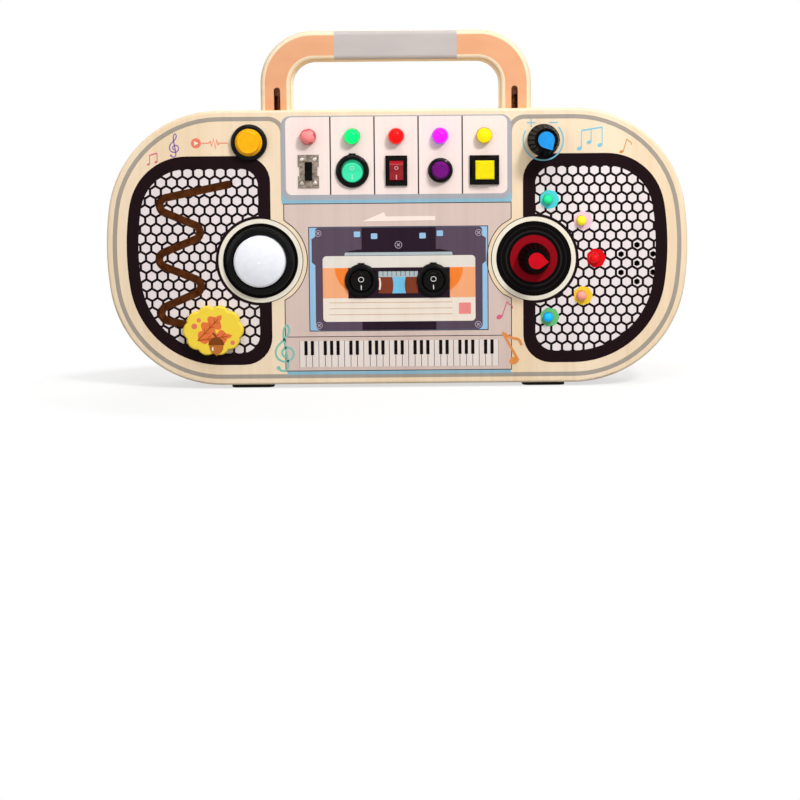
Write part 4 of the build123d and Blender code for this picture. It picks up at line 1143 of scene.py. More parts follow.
# %% Case
MID = 0.85                  # the cassette is printed a little right of the middle
CASSETTE = (-45.5, -43.1, 46.8, 10.7)
MARKS = ((-20.6, 6.9), (-11.8, 5.85), (13.2, 5.95), (22.1, 7.1))
MARK_HALF = (1.65, 1.45)
PRINTED_SCREWS = ((0.7, 1.3, 1.9), (-40.7, 7.5, 1.7), (42.1, 7.3, 1.7), (-40.6, -40.2, 1.7),
                  (41.7, -40.3, 1.7))       # middle and radius
CROSS = 0.7
printed("cassette_blue", Stencil(3).shape(square(*CASSETTE)), "frame_blue")
printed("cassette_edge", Stencil(4).line(square(*CASSETTE), FINE, closed=True), "line")
right_half = arc(41.4, -40.2, 2.6, -90, 0, 5)
right_half += [(44.0, -9.0), (45.8, -7.4), (45.8, 4.6), (43.9, 5.8)]
right_half += arc(42.3, 8.8, 1.6, 0, 90, 5)
printed("cassette_case", Stencil(4).shape(right_half + mirrored(right_half, MID)), "case_plum")
dark = Stencil(5).shape(square(-18.3, -42.8, 20.0, 10.4))
dark.shape([(-27.3, -2.4), (28.8, -2.4), (22.0, -1.0), (-20.4, -1.0)])
dark.shape(square(-27.5, -4.6, 28.9, -4.0))
printed("cassette_dark", dark, "case_dark")
blue = Stencil(6)
for x, z in MARKS:
    wide, high = MARK_HALF
    blue.shape(rounded(x - wide, z - high, x + wide, z + high, 0.5, 3))
printed("cassette_marks", blue, "frame_blue")
lip = Stencil(6).shape([(-27.3, -4.1), (28.7, -4.1), (28.2, -2.5), (-26.8, -2.5)])
printed("cassette_lip", lip, "mist")
crosses = Stencil(6)
for x, z, radius in PRINTED_SCREWS:
    crosses.ring(x, z, radius, radius - 0.28, 32)
    for rise in (CROSS, -CROSS):
        crosses.line([(x - CROSS, z - rise), (x + CROSS, z + rise)], FINE)
printed("cassette_screws", crosses, "screw_mark")
print("cassette:", round(CASSETTE[2] - CASSETTE[0], 1), "mm wide")

# %% Label and window
LABEL, LABEL_CORNER = (-38.5, -38.4, 40.3, -4.3), 2.0
BAND_TOP, BAND_FOOT = -10.4, -26.1
WINDOW = (-25.4, -26.3, 27.1, -10.4)
RULES, RULE_HALF = (-28.5, -31.6, -34.7), 0.17
printed("label", Stencil(6).shape(rounded(*LABEL, LABEL_CORNER)), "label")
low = rounded(LABEL[0], LABEL[1], LABEL[2], BAND_FOOT + LABEL_CORNER, LABEL_CORNER)
printed("label_low", Stencil(7).shape(low), "label_low")
band = square(LABEL[0], BAND_FOOT, LABEL[2], BAND_TOP)
printed("label_band", Stencil(8).shape(band), "orange_pale")
bulge = arc(20.3, BAND_TOP - 0.2, 13.6, -62, 0, 10)
swell = [(-24.2, BAND_FOOT), (26.2, BAND_FOOT)] + bulge + mirrored(bulge, MID)
printed("label_swell", Stencil(9).shape(swell), "orange")
printed("window", Stencil(10).shape(square(*WINDOW)), "case_dark")
rules = Stencil(8)
for z in RULES:
    rules.shape(square(-35.4, z - RULE_HALF, 28.4, z + RULE_HALF))
printed("label_rules", rules, "rule")
printed("label_square", Stencil(8).shape(square(31.7, -34.8, 37.9, -28.9)), "pink")
print("window:", round(WINDOW[2] - WINDOW[0], 1), "mm wide")

# %% What shows through the window
GLASS = (-9.7, -23.8, 10.6, -12.4)
SHELF = -15.3               # foot of the pale strip with the ticks
PACK = (-18.0, -19.5, 15.9)  # middle and radius of the left pack of tape
TICKS, TICK_PITCH, TICK_HALF, TICK_TALL = 8, 2.3, 0.14, 2.4
printed("window_mist", Stencil(11).shape(square(GLASS[0], SHELF, GLASS[2], GLASS[3])), "mist")
printed("window_blue", Stencil(11).shape(square(GLASS[0], GLASS[1], GLASS[2], SHELF)), "tape_blue")


def pack_edge(side):
    """The curved edge of a pack of tape, from the foot of the window up."""
    x, z, radius = PACK
    foot = math.degrees(math.asin((GLASS[1] - z) / radius))
    head = math.degrees(math.asin((SHELF - z) / radius))
    edge = arc(x, z, radius, foot, head, 8)
    return edge if side < 0 else mirrored(edge, MID)[::-1]


packs = Stencil(12)
packs.shape(pack_edge(-1) + [(GLASS[0], SHELF), (GLASS[0], GLASS[1])])
packs.shape(pack_edge(1) + [(GLASS[2], SHELF), (GLASS[2], GLASS[1])])
printed("window_tape", packs, "tape")
hub = arc(-18.6, -18.8, 10.2, -18, 18, 10) + arc(-20.2, -18.8, 10.9, 16, -16, 10)
printed("window_hub", Stencil(13).shape(hub), "arrow")
ticks = Stencil(12)
for step in range(TICKS):
    x = -7.4 + TICK_PITCH * step
    ticks.shape(square(x - TICK_HALF, GLASS[3] - TICK_TALL, x + TICK_HALF, GLASS[3]))
printed("window_ticks", ticks, "case_dark")
print("ticks:", TICKS)

# %% [markdown]
# ## The keyboard
#
# Thirty-one white keys stand side by side, with black keys over the gaps in groups of two and
# three, as on every piano. The rule is simple: counting the gaps in sevens, the third and the
# seventh have no black key. A second tree follows that rule, so that the pattern comes from the
# count of keys.

# %% The tree of the keys
KEYS, KEY_PITCH, KEY_GAP = 31, 3.325, 0.3
KEYS_LEFT, KEYS_FOOT, KEYS_TOP = -51.0, -61.9, -48.3
BLACK_WIDE, BLACK_TALL = 1.7, 7.4


def key_tree(name, shift, skip):
    """Films of one size in a row. With skip, the third and seventh of every seven are left out."""
    g = Growth(name, Count=KEYS, Pitch=KEY_PITCH * MM, Wide=1.0 * MM, Tall=1.0 * MM,
               Film=FILM * MM, Ink=None)
    index = g.add("GeometryNodeInputIndex")
    spot = g.at(g.maths("MULTIPLY", g.maths("ADD", index, shift), g.given["Pitch"]), 0.0)
    size = g.add("ShaderNodeCombineXYZ", None,
                 {"X": g.given["Wide"], "Y": g.given["Film"], "Z": g.given["Tall"]})
    key = g.add("GeometryNodeMeshCube", None, {"Size": size})
    turn = g.maths("MODULO", g.maths("ADD", index, 1.0), 7.0)
    third = g.maths("COMPARE", turn, 3.0)
    seventh = g.maths("COMPARE", turn, 0.0)
    keep = g.maths("SUBTRACT", 1.0, g.maths("ADD", third, seventh)) if skip else True
    g.finish(g.copies(g.given["Count"], spot, key, keep), g.given["Ink"])
    return g


whites, blacks = key_tree("white_keys", 0.5, False), key_tree("black_keys", 1.0, True)
print("nodes in a tree of keys:", len(whites.tree.nodes))

# %% Grow the keys
bed = square(KEYS_LEFT, KEYS_FOOT, KEYS_LEFT + KEYS * KEY_PITCH, KEYS_TOP)
printed("key_gaps", Stencil(3).shape(bed), "case_plum")
middle_z = (KEYS_TOP + KEYS_FOOT) / 2
white_keys = whites.grow("print_white_keys", place(KEYS_LEFT, -2.5 * FILM, middle_z),
                         Wide=(KEY_PITCH - KEY_GAP) * MM, Tall=(KEYS_TOP - KEYS_FOOT) * MM,
                         Film=3 * FILM * MM, Ink=INKS["key_white"])
black_z = KEYS_TOP - BLACK_TALL / 2
black_keys = blacks.grow("print_black_keys", place(KEYS_LEFT, -3.5 * FILM, black_z), Count=KEYS - 1,
                         Wide=BLACK_WIDE * MM, Tall=BLACK_TALL * MM, Film=3 * FILM * MM,
                         Ink=INKS["key_black"])
for piece in (white_keys, black_keys):
    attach(piece, "case")
    print(piece.name, "has", len(piece.data.polygons) // 6, "keys")

# %% [markdown]
# ## Small printed motifs
#
# Notes, a clef and a play sign fill the corners. They are drawn as an illustrator would ink them:
# a few strokes of even width and slanted heads.

# %% Strokes for notes and clefs
HEAD_ROUND = 0.72           # height of a note's head over its width
HEAD_SLANT = (0.92, 0.39)   # cosine and sine of its slant
STEM = 0.85                 # how far its stem is from its middle, in half widths
CLEF = [(-0.3, -0.88), (-0.18, -1.0), (0.02, -0.98), (0.12, -0.78), (0.08, -0.4), (0.0, 0.1),
        (-0.07, 0.5), (-0.05, 0.82), (0.08, 1.0), (0.18, 0.84), (0.13, 0.6), (-0.06, 0.36),
        (-0.32, 0.1), (-0.42, -0.18), (-0.33, -0.46), (-0.06, -0.6), (0.24, -0.52), (0.37, -0.27),
        (0.26, -0.03), (0.04, 0.02), (-0.13, -0.14), (-0.1, -0.33), (0.03, -0.4)]


def head(stencil, x, z, size):
    """A slanted note head."""
    points, (c, s) = [], HEAD_SLANT
    for u, w in circle(0, 0, size, 24):
        w *= HEAD_ROUND
        points.append((x + c * u - s * w, z + s * u + c * w))
    stencil.shape(points)


def note(stencil, x, z, height, lean=0.0, thick=0.5, size=1.3, sweep=0.36):
    """A single note: head at the foot of its stem, and a flag."""
    head(stencil, x, z, size)
    foot = (x + STEM * size, z)
    tip = (foot[0] + lean * height, z + height)
    stencil.line([foot, tip], thick)
    flag = [tip, (tip[0] + 0.4 * sweep * height, tip[1] - 0.18 * height),
            (tip[0] + 0.85 * sweep * height, tip[1] - 0.26 * height),
            (tip[0] + sweep * height, tip[1] - 0.46 * height)]
    stencil.line(curve(flag), thick)


def pair(stencil, x, z, wide, height, thick=0.45, size=1.0, rise=0.15):
    """Two notes joined by a beam."""
    tops = []
    for foot_x, foot_z in ((x, z), (x + wide, z + wide * rise)):
        head(stencil, foot_x, foot_z, size)
        tops.append((foot_x + STEM * size, foot_z + height))
        stencil.line([(tops[-1][0], foot_z), tops[-1]], thick)
    stencil.line(tops, 1.6 * thick)


def clef(stencil, x, z, half_height, thick):
    """A treble clef: one smooth stroke with a dot at its foot."""
    path = [(x + u * half_height, z + w * half_height) for u, w in CLEF]
    stencil.line(curve(path, 5), thick)
    stencil.shape(circle(path[0][0], path[0][1], thick, 16))


print("points of the clef's stroke:", len(curve(CLEF, 5)))

# %% Motifs at the top left
rose = Stencil(1)
pair(rose, -127.4, 43.8, 3.9, 4.6, 0.4, 0.75, 0.3)
printed("notes_rose", rose, "rose", punched=False)
violet = Stencil(1)
clef(violet, -113.9, 53.4, 5.9, 0.55)
printed("clef_violet", violet, "purple", punched=False)
coral = Stencil(1).shape(circle(-102.8, 54.4, 2.6, 40))
play = Stencil(2).shape([(-103.7, 53.2), (-101.5, 54.4), (-103.7, 55.6)])
printed("play_arrow", play, "cream")
wave = [(-99.9, 54.4), (-96.2, 54.4), (-95.4, 55.4), (-94.7, 52.9), (-93.8, 56.6), (-92.9, 51.6),
        (-92.1, 56.0), (-91.3, 53.5), (-90.6, 54.4), (-86.4, 54.4)]
coral.line(wave, 0.5)
printed("play_sign", coral, "coral", punched=False)
print("shapes in the play sign:", coral.laid)

# %% Motifs at the top right
sky_notes = Stencil(1)
pair(sky_notes, 94.0, 50.0, 10.6, 9.2, 0.5, 1.35, 0.16)
head(sky_notes, 99.0, 53.2, 1.25)
sky_notes.line([(100.1, 53.4), (100.1, 60.0)], 0.5)
printed("notes_sky", sky_notes, "light_blue", punched=False)
ochre = Stencil(1)
note(ochre, 115.6, 48.2, 6.6, 0.3, 0.45, 1.05)
printed("note_ochre", ochre, "ochre", punched=False)
print("shapes in the notes at the top right:", sky_notes.laid + ochre.laid)

# %% Motifs beside the keyboard
teal = Stencil(4)
clef(teal, -58.4, -51.8, 11.8, 1.0)
printed("clef_teal", teal, "teal", punched=False)
pink_note = Stencil(4)
note(pink_note, 52.6, -36.6, 8.0, 0.33, 0.5, 1.6)
printed("note_rose", pink_note, "rose", punched=False)
amber = Stencil(4)
note(amber, 60.2, -59.4, 14.8, -0.55, 1.3, 2.6, 0.66)
printed("note_amber", amber, "amber", punched=False)
print("shapes beside the keyboard:", teal.laid + pink_note.laid + amber.laid)

# %% [markdown]
# ## Marks on the switches
#
# A rocker carries a ring on the half that is out and a bar on the other half. The two halves of
# the cap lean away from a fold line, and the whole cap is tilted on its pivot. The marks are drawn
# flat and then bent onto the cap by the same two angles, so they lie on the plastic at rest and
# ride on it when the switch is rocked.

# %% Bending marks onto a rocker
ROCKER_PIVOT = -0.9         # depth of the pivot
ROCKER_FACE, ROCKER_FOLD, ROCKER_TILT = 3.2, math.radians(3.0), math.radians(14.0)


def on_rocker(middle_x, middle_z):
    """Places flat marks, measured from the middle of a rocker, on its folded and tilted face."""

    def where(x, depth, z):
        out = -ROCKER_FACE - abs(z) * math.tan(ROCKER_FOLD) + depth
        swung = out * math.cos(ROCKER_TILT) - z * math.sin(ROCKER_TILT)
        up = out * math.sin(ROCKER_TILT) + z * math.cos(ROCKER_TILT)
        return place(middle_x + x, ROCKER_PIVOT + swung, middle_z + up)
    return where


print("fold of a cap:", round(math.degrees(ROCKER_FOLD)), "degrees to each side")

# %% Ring and bar on each rocker
REEL_X, REEL_Z = 18.6, -17.0
SWITCH_Z = middle("slide_switch_plate")[1]
MARKED = {                  # middle, ink, the ring's height and radius, how far down the bar is
    "green_rocker": ((-pitch, SWITCH_Z), "pale_green", 2.4, 1.1, 2.2),
    "red_rocker": ((0.0, SWITCH_Z), "pale_pink", 2.3, 1.0, 2.5),
    "left_reel_rocker": ((-REEL_X, REEL_Z), "white", 1.7, 1.5, 2.6),
    "right_reel_rocker": ((REEL_X, REEL_Z), "white", 1.7, 1.5, 2.6),
}
RING_WIDE, BAR_HALF = 0.36, 0.25
BAR_LOW, BAR_HIGH = 1.25, 1.15
for name, (spot, colour, ring_z, radius, bar_z) in MARKED.items():
    marks = Stencil(2, where=on_rocker(*spot))
    marks.ring(0.0, ring_z, radius, radius - RING_WIDE, 32)
    marks.shape(square(-BAR_HALF, -bar_z - BAR_LOW, BAR_HALF, -bar_z + BAR_HIGH))
    printed("marks_" + name, marks, colour, name, punched=False)
print("marked:", ", ".join(MARKED))

# %% [markdown]
# ## Rivets of the slide switch
#
# The pressed plate of the slide switch is held by four rivets with low domed heads. A head is a
# short profile turned round its axis. One head is made once, and a small tree sets a copy at each
# corner of a rectangle, so the spacing of the rivets is two numbers and not four places.

# %% Turned heads, and the corners of a rectangle


def solid(mesh, name):
    """An object of its own from a mesh that is being edited."""
    data = bpy.data.meshes.new(name)
    mesh.to_mesh(data)
    mesh.free()
    return new_object(name, data)


def turned(profile, steps):
    """Turns a profile of (radius, depth) points into one closed solid round its own axis."""
    mesh = bmesh.new()
    rows = []
    for radius, depth in profile:
        ring = circle(0, 0, radius, steps) if radius else [(0, 0)]
        rows.append([mesh.verts.new(Vector((x, depth, z)) * MM) for x, z in ring])
    for above, below in zip(rows, rows[1:]):
        for i in range(steps):
            j = (i + 1) % steps
            corners = [above[i % len(above)], above[j % len(above)], below[j % len(below)],
                       below[i % len(below)]]
            mesh.faces.new(list(dict.fromkeys(corners)))
    bmesh.ops.recalc_face_normals(mesh, faces=mesh.faces)
    return solid(mesh, "head")


def at_corners(tree, count, wide, tall, x=0.0, z=0.0):
    """Copies of the tree's piece at the corners of an upright rectangle, two by two."""
    index = tree.add("GeometryNodeInputIndex")
    row = tree.maths("SUBTRACT", tree.maths("MODULO", index, 2.0), 0.5)
    column = tree.maths("SUBTRACT", tree.maths("FLOOR", tree.maths("DIVIDE", index, 2.0)), 0.5)
    spot = tree.at(tree.maths("ADD", tree.maths("MULTIPLY", column, wide), x),
                   tree.maths("ADD", tree.maths("MULTIPLY", row, tall), z))
    piece = tree.add("GeometryNodeObjectInfo", {"transform_space": "ORIGINAL"},
                     {"Object": tree.given["Piece"]}, out="Geometry")
    return tree.copies(count, spot, piece)


print("made: helpers for turned heads and their copies")

# %% Grow the rivets
RIVET, RIVET_RISE = 1.15, 0.55      # radius and rise of a head
RIVET_INSET = (2.1, 2.5)            # from the edges of the plate
x, z = middle("slide_switch_plate")
front, half_x, half_z = boxed("slide_switch_plate")
crown = [(RIVET * math.sin(a), front - RIVET_RISE * math.cos(a))
         for a in [math.radians(15 * step) for step in range(7)]]
crown = [(0.0, crown[0][1])] + crown[1:] + [(0.0, crown[-1][1])]
rivet = turned(crown, 24)
riveting = Growth("rivets", Wide=2 * (half_x - RIVET_INSET[0]) * MM,
                  Tall=2 * (half_z - RIVET_INSET[1]) * MM, Piece=rivet, Ink=None)
riveting.finish(at_corners(riveting, 4, riveting.given["Wide"], riveting.given["Tall"]),
                riveting.given["Ink"])
rivets = riveting.grow("slide_switch_rivets", place(x, 0, z),
                       Ink=metal("rivet_steel", "#C8C0B8", "#A89E94", 0.3))
bpy.data.objects.remove(rivet)
for face in rivets.data.polygons:
    face.use_smooth = True
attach(rivets, "case")
print("rivets:", len(rivets.data.polygons), "faces")

# %% [markdown]
# ## Wood screws with cross recesses
#
# Six small countersunk screws hold the back and the battery door. Each real head has a cross
# recess. It is cut from one turned head with two crossed wedges, and a second tree copies that
# head to the corners of the back and to both ends of the door. The result replaces the plain
# screws of the solid model.

# %% One crossed head
BACK_FACE = 36.0            # depth of the back
SCREW_PROFILE = [(0.0, 36.0), (2.0, 36.0), (2.3, 35.8), (1.2, 34.1), (1.2, 27.4), (0.3, 26.0),
                 (0.0, 26.0)]       # radius and depth, from the head to the tip
RECESS = (0.32, 1.35, 1.1)  # half width, reach, depth


def wedge(across, along, deep):
    """A closed box over the middle of a screw's head, to cut with."""
    mesh = bmesh.new()
    half = Vector((across, (deep + 1) / 2, along))
    for vertex in bmesh.ops.create_cube(mesh, size=2.0)["verts"]:
        vertex.co = (vertex.co * half + Vector((0, BACK_FACE + (1 - deep) / 2, 0))) * MM
    return solid(mesh, "wedge")


screw = turned(SCREW_PROFILE, 28)
wide, reach, deep = RECESS
for across, along in ((wide, reach), (reach, wide)):
    carve(screw, wedge(across, along, deep))
print("one screw:", len(screw.data.polygons), "faces")

# %% Grow the screws
SCREW_HALF = (91.0, 63.6)   # the back's screws, from its middle
DOOR_SCREW = 33.5           # the door's screws, from its middle
door_x, door_z = middle("battery_door")
SCREW_MIDDLES = [(x * SCREW_HALF[0], z * SCREW_HALF[1]) for x in (-1, 1) for z in (-1, 1)]
SCREW_MIDDLES += [(door_x, door_z - DOOR_SCREW), (door_x, door_z + DOOR_SCREW)]
driving = Growth("screws", Wide=2 * SCREW_HALF[0] * MM, Tall=2 * SCREW_HALF[1] * MM,
                 Door=2 * DOOR_SCREW * MM, DoorX=door_x * MM, DoorZ=door_z * MM, Piece=screw,
                 Ink=None)
given = driving.given
both = driving.tree.nodes.new("GeometryNodeJoinGeometry")
for group in (at_corners(driving, 4, given["Wide"], given["Tall"]),
              at_corners(driving, 2, 0.0, given["Door"], given["DoorX"], given["DoorZ"])):
    driving.tree.links.new(group, both.inputs[0])
driving.finish(both.outputs[0], given["Ink"])
screws = driving.grow("wood_screws_crossed", place(0, 0, 0), Ink=steel)
bpy.data.objects.remove(screw)
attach(screws, "case")
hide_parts("wood_screws")
print("screws:", len(SCREW_MIDDLES), "with", len(screws.data.polygons), "faces")

# %% [markdown]
# ## The token
#
# The sliding token is a scalloped counter, printed on its front. This one shows an oak sprig: two
# lobed leaves and an acorn. The films ride on the token, so they slide and spin with it.

# %% A lobed leaf
LEAF_STEPS = 60
LOBES, LOBE_START = 3.6, 2.6        # lobes on each side, and the turn that the first starts at
LOBE_DEPTH, LOBE_LEAN = 0.24, 0.022
STALK = 0.06                        # half width of the stalk over that of the leaf


def leaf(x, z, angle, length, wide):
    """Outline of an oak leaf from its stalk, drawn at an angle."""
    side = []
    for step in range(LEAF_STEPS + 1):
        t = step / LEAF_STEPS
        swell = math.sin(math.pi * min(1.0, t * 1.02) ** 1.2) ** 0.7
        wave = 2 * math.pi * LOBES * t + LOBE_START
        wavy = 1 - LOBE_DEPTH + LOBE_DEPTH * math.cos(wave)
        reach = length * (t + LOBE_LEAN * math.sin(wave) * swell)
        side.append((reach, wide * max(STALK, swell * wavy)))
    outline = [(u, -w) for u, w in side] + side[::-1]
    c, s = math.cos(math.radians(angle)), math.sin(math.radians(angle))
    return [(x + u * c - w * s, z + u * s + w * c) for u, w in outline]


print("points round a leaf:", len(leaf(0, 0, 0, 1, 1)))

# %% Two leaves with veins
TOKEN = (-95.1, -42.0)
TOKEN_FRONT = boxed("token")[0]
LEAF_LENGTH = 18.0
LEAVES = ((46, 5.0), (8, 4.25))     # angle and half width
MIDRIB, MIDRIB_WIDE = 15.6, 0.5
VEINS, VEIN_LONG, VEIN_WIDE = (5.0, 9.0, 12.4), 2.6, 0.3


def on_token(level):
    """A stencil on the token's face."""
    return Stencil(level, base=TOKEN_FRONT)


def stroke(start, angle, length):
    """A straight stroke: its two ends."""
    turn = math.radians(angle)
    return [start, (start[0] + length * math.cos(turn), start[1] + length * math.sin(turn))]


x, z = TOKEN
stalk = (x - 8.0, z - 5.0)
oak, vein = on_token(1), on_token(2)
for angle, wide in LEAVES:
    oak.shape(leaf(*stalk, angle, LEAF_LENGTH, wide))
    vein.line(stroke(stalk, angle, MIDRIB), MIDRIB_WIDE)
    for along in VEINS:
        for turn in (-38, 38):
            start = stroke(stalk, angle, along)[1]
            vein.line(stroke(start, angle + turn, VEIN_LONG), VEIN_WIDE)
print("veins:", vein.laid)

# %% Acorn and buds
NUT_WIDE, NUT_TALL = 3.6, 4.0
BUDS = ((-9.6, 2.4, 1.5), (-7.2, 5.6, 1.1), (10.0, -6.2, 1.2))     # from the token's middle
nut_x, nut_z = x + 1.6, z - 8.2
nut_shape = [(nut_x + NUT_WIDE * u, nut_z + NUT_TALL * w) for u, w in circle(0, 0, 1, 28)]
nut = on_token(3).shape(nut_shape)
nut.shape([(nut_x - 0.9, nut_z - 3.7), (nut_x, nut_z - 4.9), (nut_x + 0.9, nut_z - 3.7)])
cup = on_token(4).shape(arc(nut_x, nut_z + 0.8, 4.1, 0, 180, 14))
cup.line(curve([(nut_x, nut_z + 4.6), (nut_x - 0.6, nut_z + 6.0), (nut_x - 1.8, nut_z + 7.0)]), 0.9)
shine = on_token(5).shape(rounded(nut_x - 2.3, nut_z - 2.2, nut_x - 1.5, nut_z - 0.2, 0.38, 4))
buds = on_token(1)
for dx, dz, size in BUDS:
    buds.shape(circle(x + dx, z + dz, size, 24))
for name, film, colour in (("leaves", oak, "oak"), ("veins", vein, "oak_line"), ("nut", nut, "nut"),
                           ("cup", cup, "cup"), ("shine", shine, "white"), ("buds", buds, "coral")):
    printed("token_" + name, film, colour, "token_turner", punched=False)
print("buds:", len(BUDS))

# %% [markdown]
# ## The back
#
# The back panel and the battery door are cut from the same ply by a laser, which leaves a thin
# scorched line along each side of the cut. The door is marked with an engraved battery sign.

# %% Scorched lines round the back and the door
RING, KERF = 7.2, 0.4       # where the back panel starts, and the width of the cut round it
SCORCH_WIDE = 0.28
DOOR_CORNER = 3.0
SCREW_SCORCH = (2.75, 2.42)


def place_back(x, depth, z):
    """A place on the back as seen from behind, with depth into the body."""
    return place(-x, BACK_FACE - depth, z)


def whole_outline(inset):
    """The body's outline, set in."""
    side = left_side(inset)
    return side + mirrored(side)


scorched = Stencil(1, where=place_back)
for inset in (RING - SCORCH_WIDE / 2, RING + KERF + SCORCH_WIDE / 2):
    scorched.line(whole_outline(inset), SCORCH_WIDE, closed=True)
_, half_x, half_z = boxed("battery_door")
x, z = -door_x, door_z
for out in (-SCORCH_WIDE / 2, KERF + SCORCH_WIDE / 2):
    outline = rounded(x - half_x - out, z - half_z - out, x + half_x + out, z + half_z + out,
                      DOOR_CORNER + out)
    scorched.line(outline, SCORCH_WIDE, closed=True)
print("door:", round(2 * half_x, 1), "x", round(2 * half_z, 1), "mm")

# %% Battery sign, and rings round the screws
SIGN_WIDE = 0.7             # width of the sign's strokes
PLUS_Z, MINUS_Z, ARM = 4.2, -5.2, 1.9
scorched.line(rounded(x - 5.2, z - 9.5, x + 5.2, z + 8.5, 1.4), SIGN_WIDE, closed=True)
scorched.shape(rounded(x - 2.2, z + 8.9, x + 2.2, z + 11.0, 0.5, 3))
scorched.line([(x - ARM, z + PLUS_Z), (x + ARM, z + PLUS_Z)], SIGN_WIDE)
for start, end in ((-ARM, -SIGN_WIDE / 2), (SIGN_WIDE / 2, ARM)):
    scorched.line([(x, z + PLUS_Z + start), (x, z + PLUS_Z + end)], SIGN_WIDE)
scorched.line([(x - ARM, z + MINUS_Z), (x + ARM, z + MINUS_Z)], SIGN_WIDE)
for screw_x, screw_z in SCREW_MIDDLES:
    scorched.ring(-screw_x, screw_z, *SCREW_SCORCH, 40)
printed("back_scorch", scorched, "scorch", punched=False)
print("shapes burnt into the back:", scorched.laid)

# %% [markdown]
# ## The floor of the wavy slot
#
# Behind the slot a strip of scorched ply closes the hollow, far enough back for the token's screw
# to pass in front of it. It is a plain ribbon that follows the slot. It glows a little, painted
# light that brightens the hollow.

# %% Slot floor
FLOOR_DEPTH, FLOOR_THICK, FLOOR_WIDE = 7.3, 0.6, 7.5
floor_strip = Stencil(0, base=FLOOR_DEPTH)
floor_strip.far = FLOOR_DEPTH + FLOOR_THICK
floor_strip.line(bent(TRACK, TRACK_BEND), FLOOR_WIDE)
# The glow of 0.3 is painted light: the scorched ply holds no lamp.
slot_floor = floor_strip.mesh(
    "slot_floor", moulded("scorched_floor_painted_glow", "#7A4420", "#5C3014", 0.8, 0.0, 0.3))
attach(slot_floor, "case")
print("slot floor:", len(slot_floor.data.polygons), "faces")

# %% [markdown]
# ## Camera, floor and light
#
# The board stands on a pale floor in soft studio light that comes from the upper right, so that
# knobs and lamps drop short soft shadows to the lower left. The camera stands a little above the
# board and looks slightly down. The lens shift keeps the board in the upper half of the frame.

# %% Camera
FRAME_PX = 800.0
FOCAL_PX = 1366.0
SHIFT_PX = (-0.9, -158.9)
EYE = place(2.0, -703.0, 50.0)
TILT, ROLL = math.radians(3.81), math.radians(0.5)
camera_data = bpy.data.cameras.new("camera")
camera_data.sensor_width = 36.0
camera_data.lens = camera_data.sensor_width * FOCAL_PX / FRAME_PX
camera_data.shift_x = SHIFT_PX[0] / FRAME_PX
camera_data.shift_y = SHIFT_PX[1] / FRAME_PX
camera_data.clip_start = 0.01
camera = new_object("camera", camera_data)
bpy.context.scene.camera = camera
camera.matrix_world = (Matrix.Translation(EYE) @ Matrix.Rotation(math.pi / 2 - TILT, 4, "X")
                       @ Matrix.Rotation(-ROLL, 4, "Z"))
print("camera:", tuple(round(v, 3) for v in EYE))

# %% Floor
SEES_WHITE = ("Is Camera Ray", "Is Glossy Ray", "Is Transmission Ray")
FADE = (0.14, 0.22)         # metres from the middle where the floor starts and ends to whiten
GLOW = 0.66                 # how white it is where it starts
FLOOR_RADIUS = 6.0
WHITE = (1.0, 1.0, 1.0, 1.0)
PALE, PALE_BOUNCE = (0.9, 0.9, 0.9, 1.0), (0.3, 0.3, 0.3, 1.0)  # as seen, and as it lights


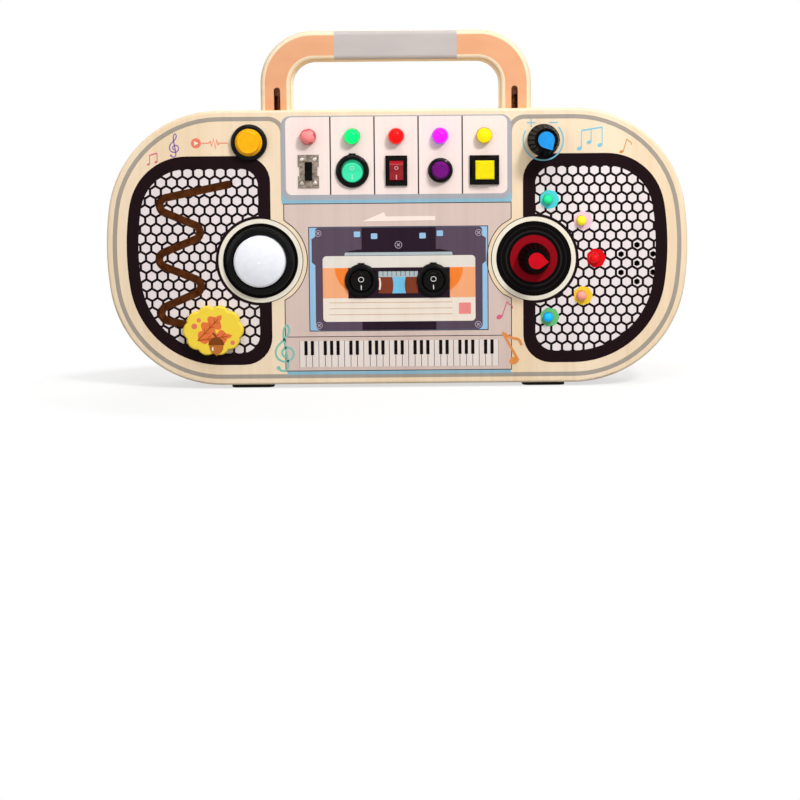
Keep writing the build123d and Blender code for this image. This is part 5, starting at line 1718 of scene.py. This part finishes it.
def studio_floor():
    """A pale floor that turns to plain white with distance, so that no horizon shows."""
    f = Finish("studio_floor")
    f.tree.nodes.remove(f.shader)
    camera_ray, glossy, through = [f.node("ShaderNodeLightPath", out=word) for word in SEES_WHITE]
    rays = camera_ray + glossy + through
    seen = f.node("ShaderNodeMath", {"operation": "MINIMUM"}, {0: rays, 1: 1.0})
    diffuse = f.node("ShaderNodeBsdfDiffuse", None, {"Color": f.colours(seen, PALE_BOUNCE, PALE)})
    oval = f.node("ShaderNodeMapping", {"vector_type": "POINT"},
                  {"Vector": f.here(), "Scale": (1.0, 2.0, 1.0)})
    distance = f.node("ShaderNodeVectorMath", {"operation": "LENGTH"}, {0: oval}, out="Value")
    far = f.between(distance, *FADE)
    glow = f.node("ShaderNodeEmission", None, {"Color": WHITE, "Strength": 1.0})
    part = f.node("ShaderNodeMath", {"operation": "MAXIMUM"}, {0: far, 1: GLOW})
    both = f.node("ShaderNodeMixShader", None, {0: part * seen, 1: diffuse, 2: glow})
    f.tree.links.new(both.socket, f.tree.nodes["Material Output"].inputs["Surface"])
    bpy.ops.mesh.primitive_circle_add(vertices=64, radius=FLOOR_RADIUS, fill_type="NGON")
    floor = bpy.context.object
    floor.name = "studio_floor"
    floor.data.materials.append(f.material)


studio_floor()
print("the floor is white from", FADE[1], "m on")

# %% Sky
SKY_LIGHT = 0.15            # how strongly the sky lights the board
SKY_SEEN = 1.0              # how strong it looks to the camera and in gloss
world = bpy.data.worlds.new("studio")
bpy.context.scene.world = world
world.use_nodes = True
links, nodes = world.node_tree.links, world.node_tree.nodes
sky_node = nodes["Background"]
sky_node.inputs["Color"].default_value = WHITE
light_path = nodes.new("ShaderNodeLightPath")
factor = light_path.outputs[SEES_WHITE[0]]
for word in SEES_WHITE[1:]:
    either = nodes.new("ShaderNodeMath")
    either.operation = "MAXIMUM"
    links.new(factor, either.inputs[0])
    links.new(light_path.outputs[word], either.inputs[1])
    factor = either.outputs[0]
strength = nodes.new("ShaderNodeMix")
strength.inputs["A"].default_value = SKY_LIGHT
strength.inputs["B"].default_value = SKY_SEEN
links.new(factor, strength.inputs["Factor"])
links.new(strength.outputs[0], sky_node.inputs["Strength"])
print("sky:", len(nodes), "nodes")

# %% Soft boxes
SOFT_BOXES = {              # place and size in metres, power in watts
    "key": ((0.36, -0.52, 0.62), 0.14, 4.5),
    "fill": ((-0.75, -0.9, 0.3), 0.9, 3.7),
    "low": ((0.55, -0.9, 0.12), 0.7, 1.3),
    "top": ((0.0, -0.35, 0.75), 0.5, 2.6),
    "back": ((0.2, 1.2, 0.6), 1.2, 16.0),
}


def soft_light(name, where, size, power):
    """A square soft box that looks at the board."""
    data = bpy.data.lights.new(name, "AREA")
    data.size = size
    data.energy = power
    lamp = new_object(name, data)
    lamp.location = where
    aim = place(0, 0, 0) - Vector(where)
    lamp.rotation_euler = aim.to_track_quat("-Z", "Y").to_euler()


for name, (where, size, power) in SOFT_BOXES.items():
    soft_light(name, where, size, power)
bpy.context.scene.view_settings.view_transform = "Standard"
print("soft boxes:", ", ".join(SOFT_BOXES))
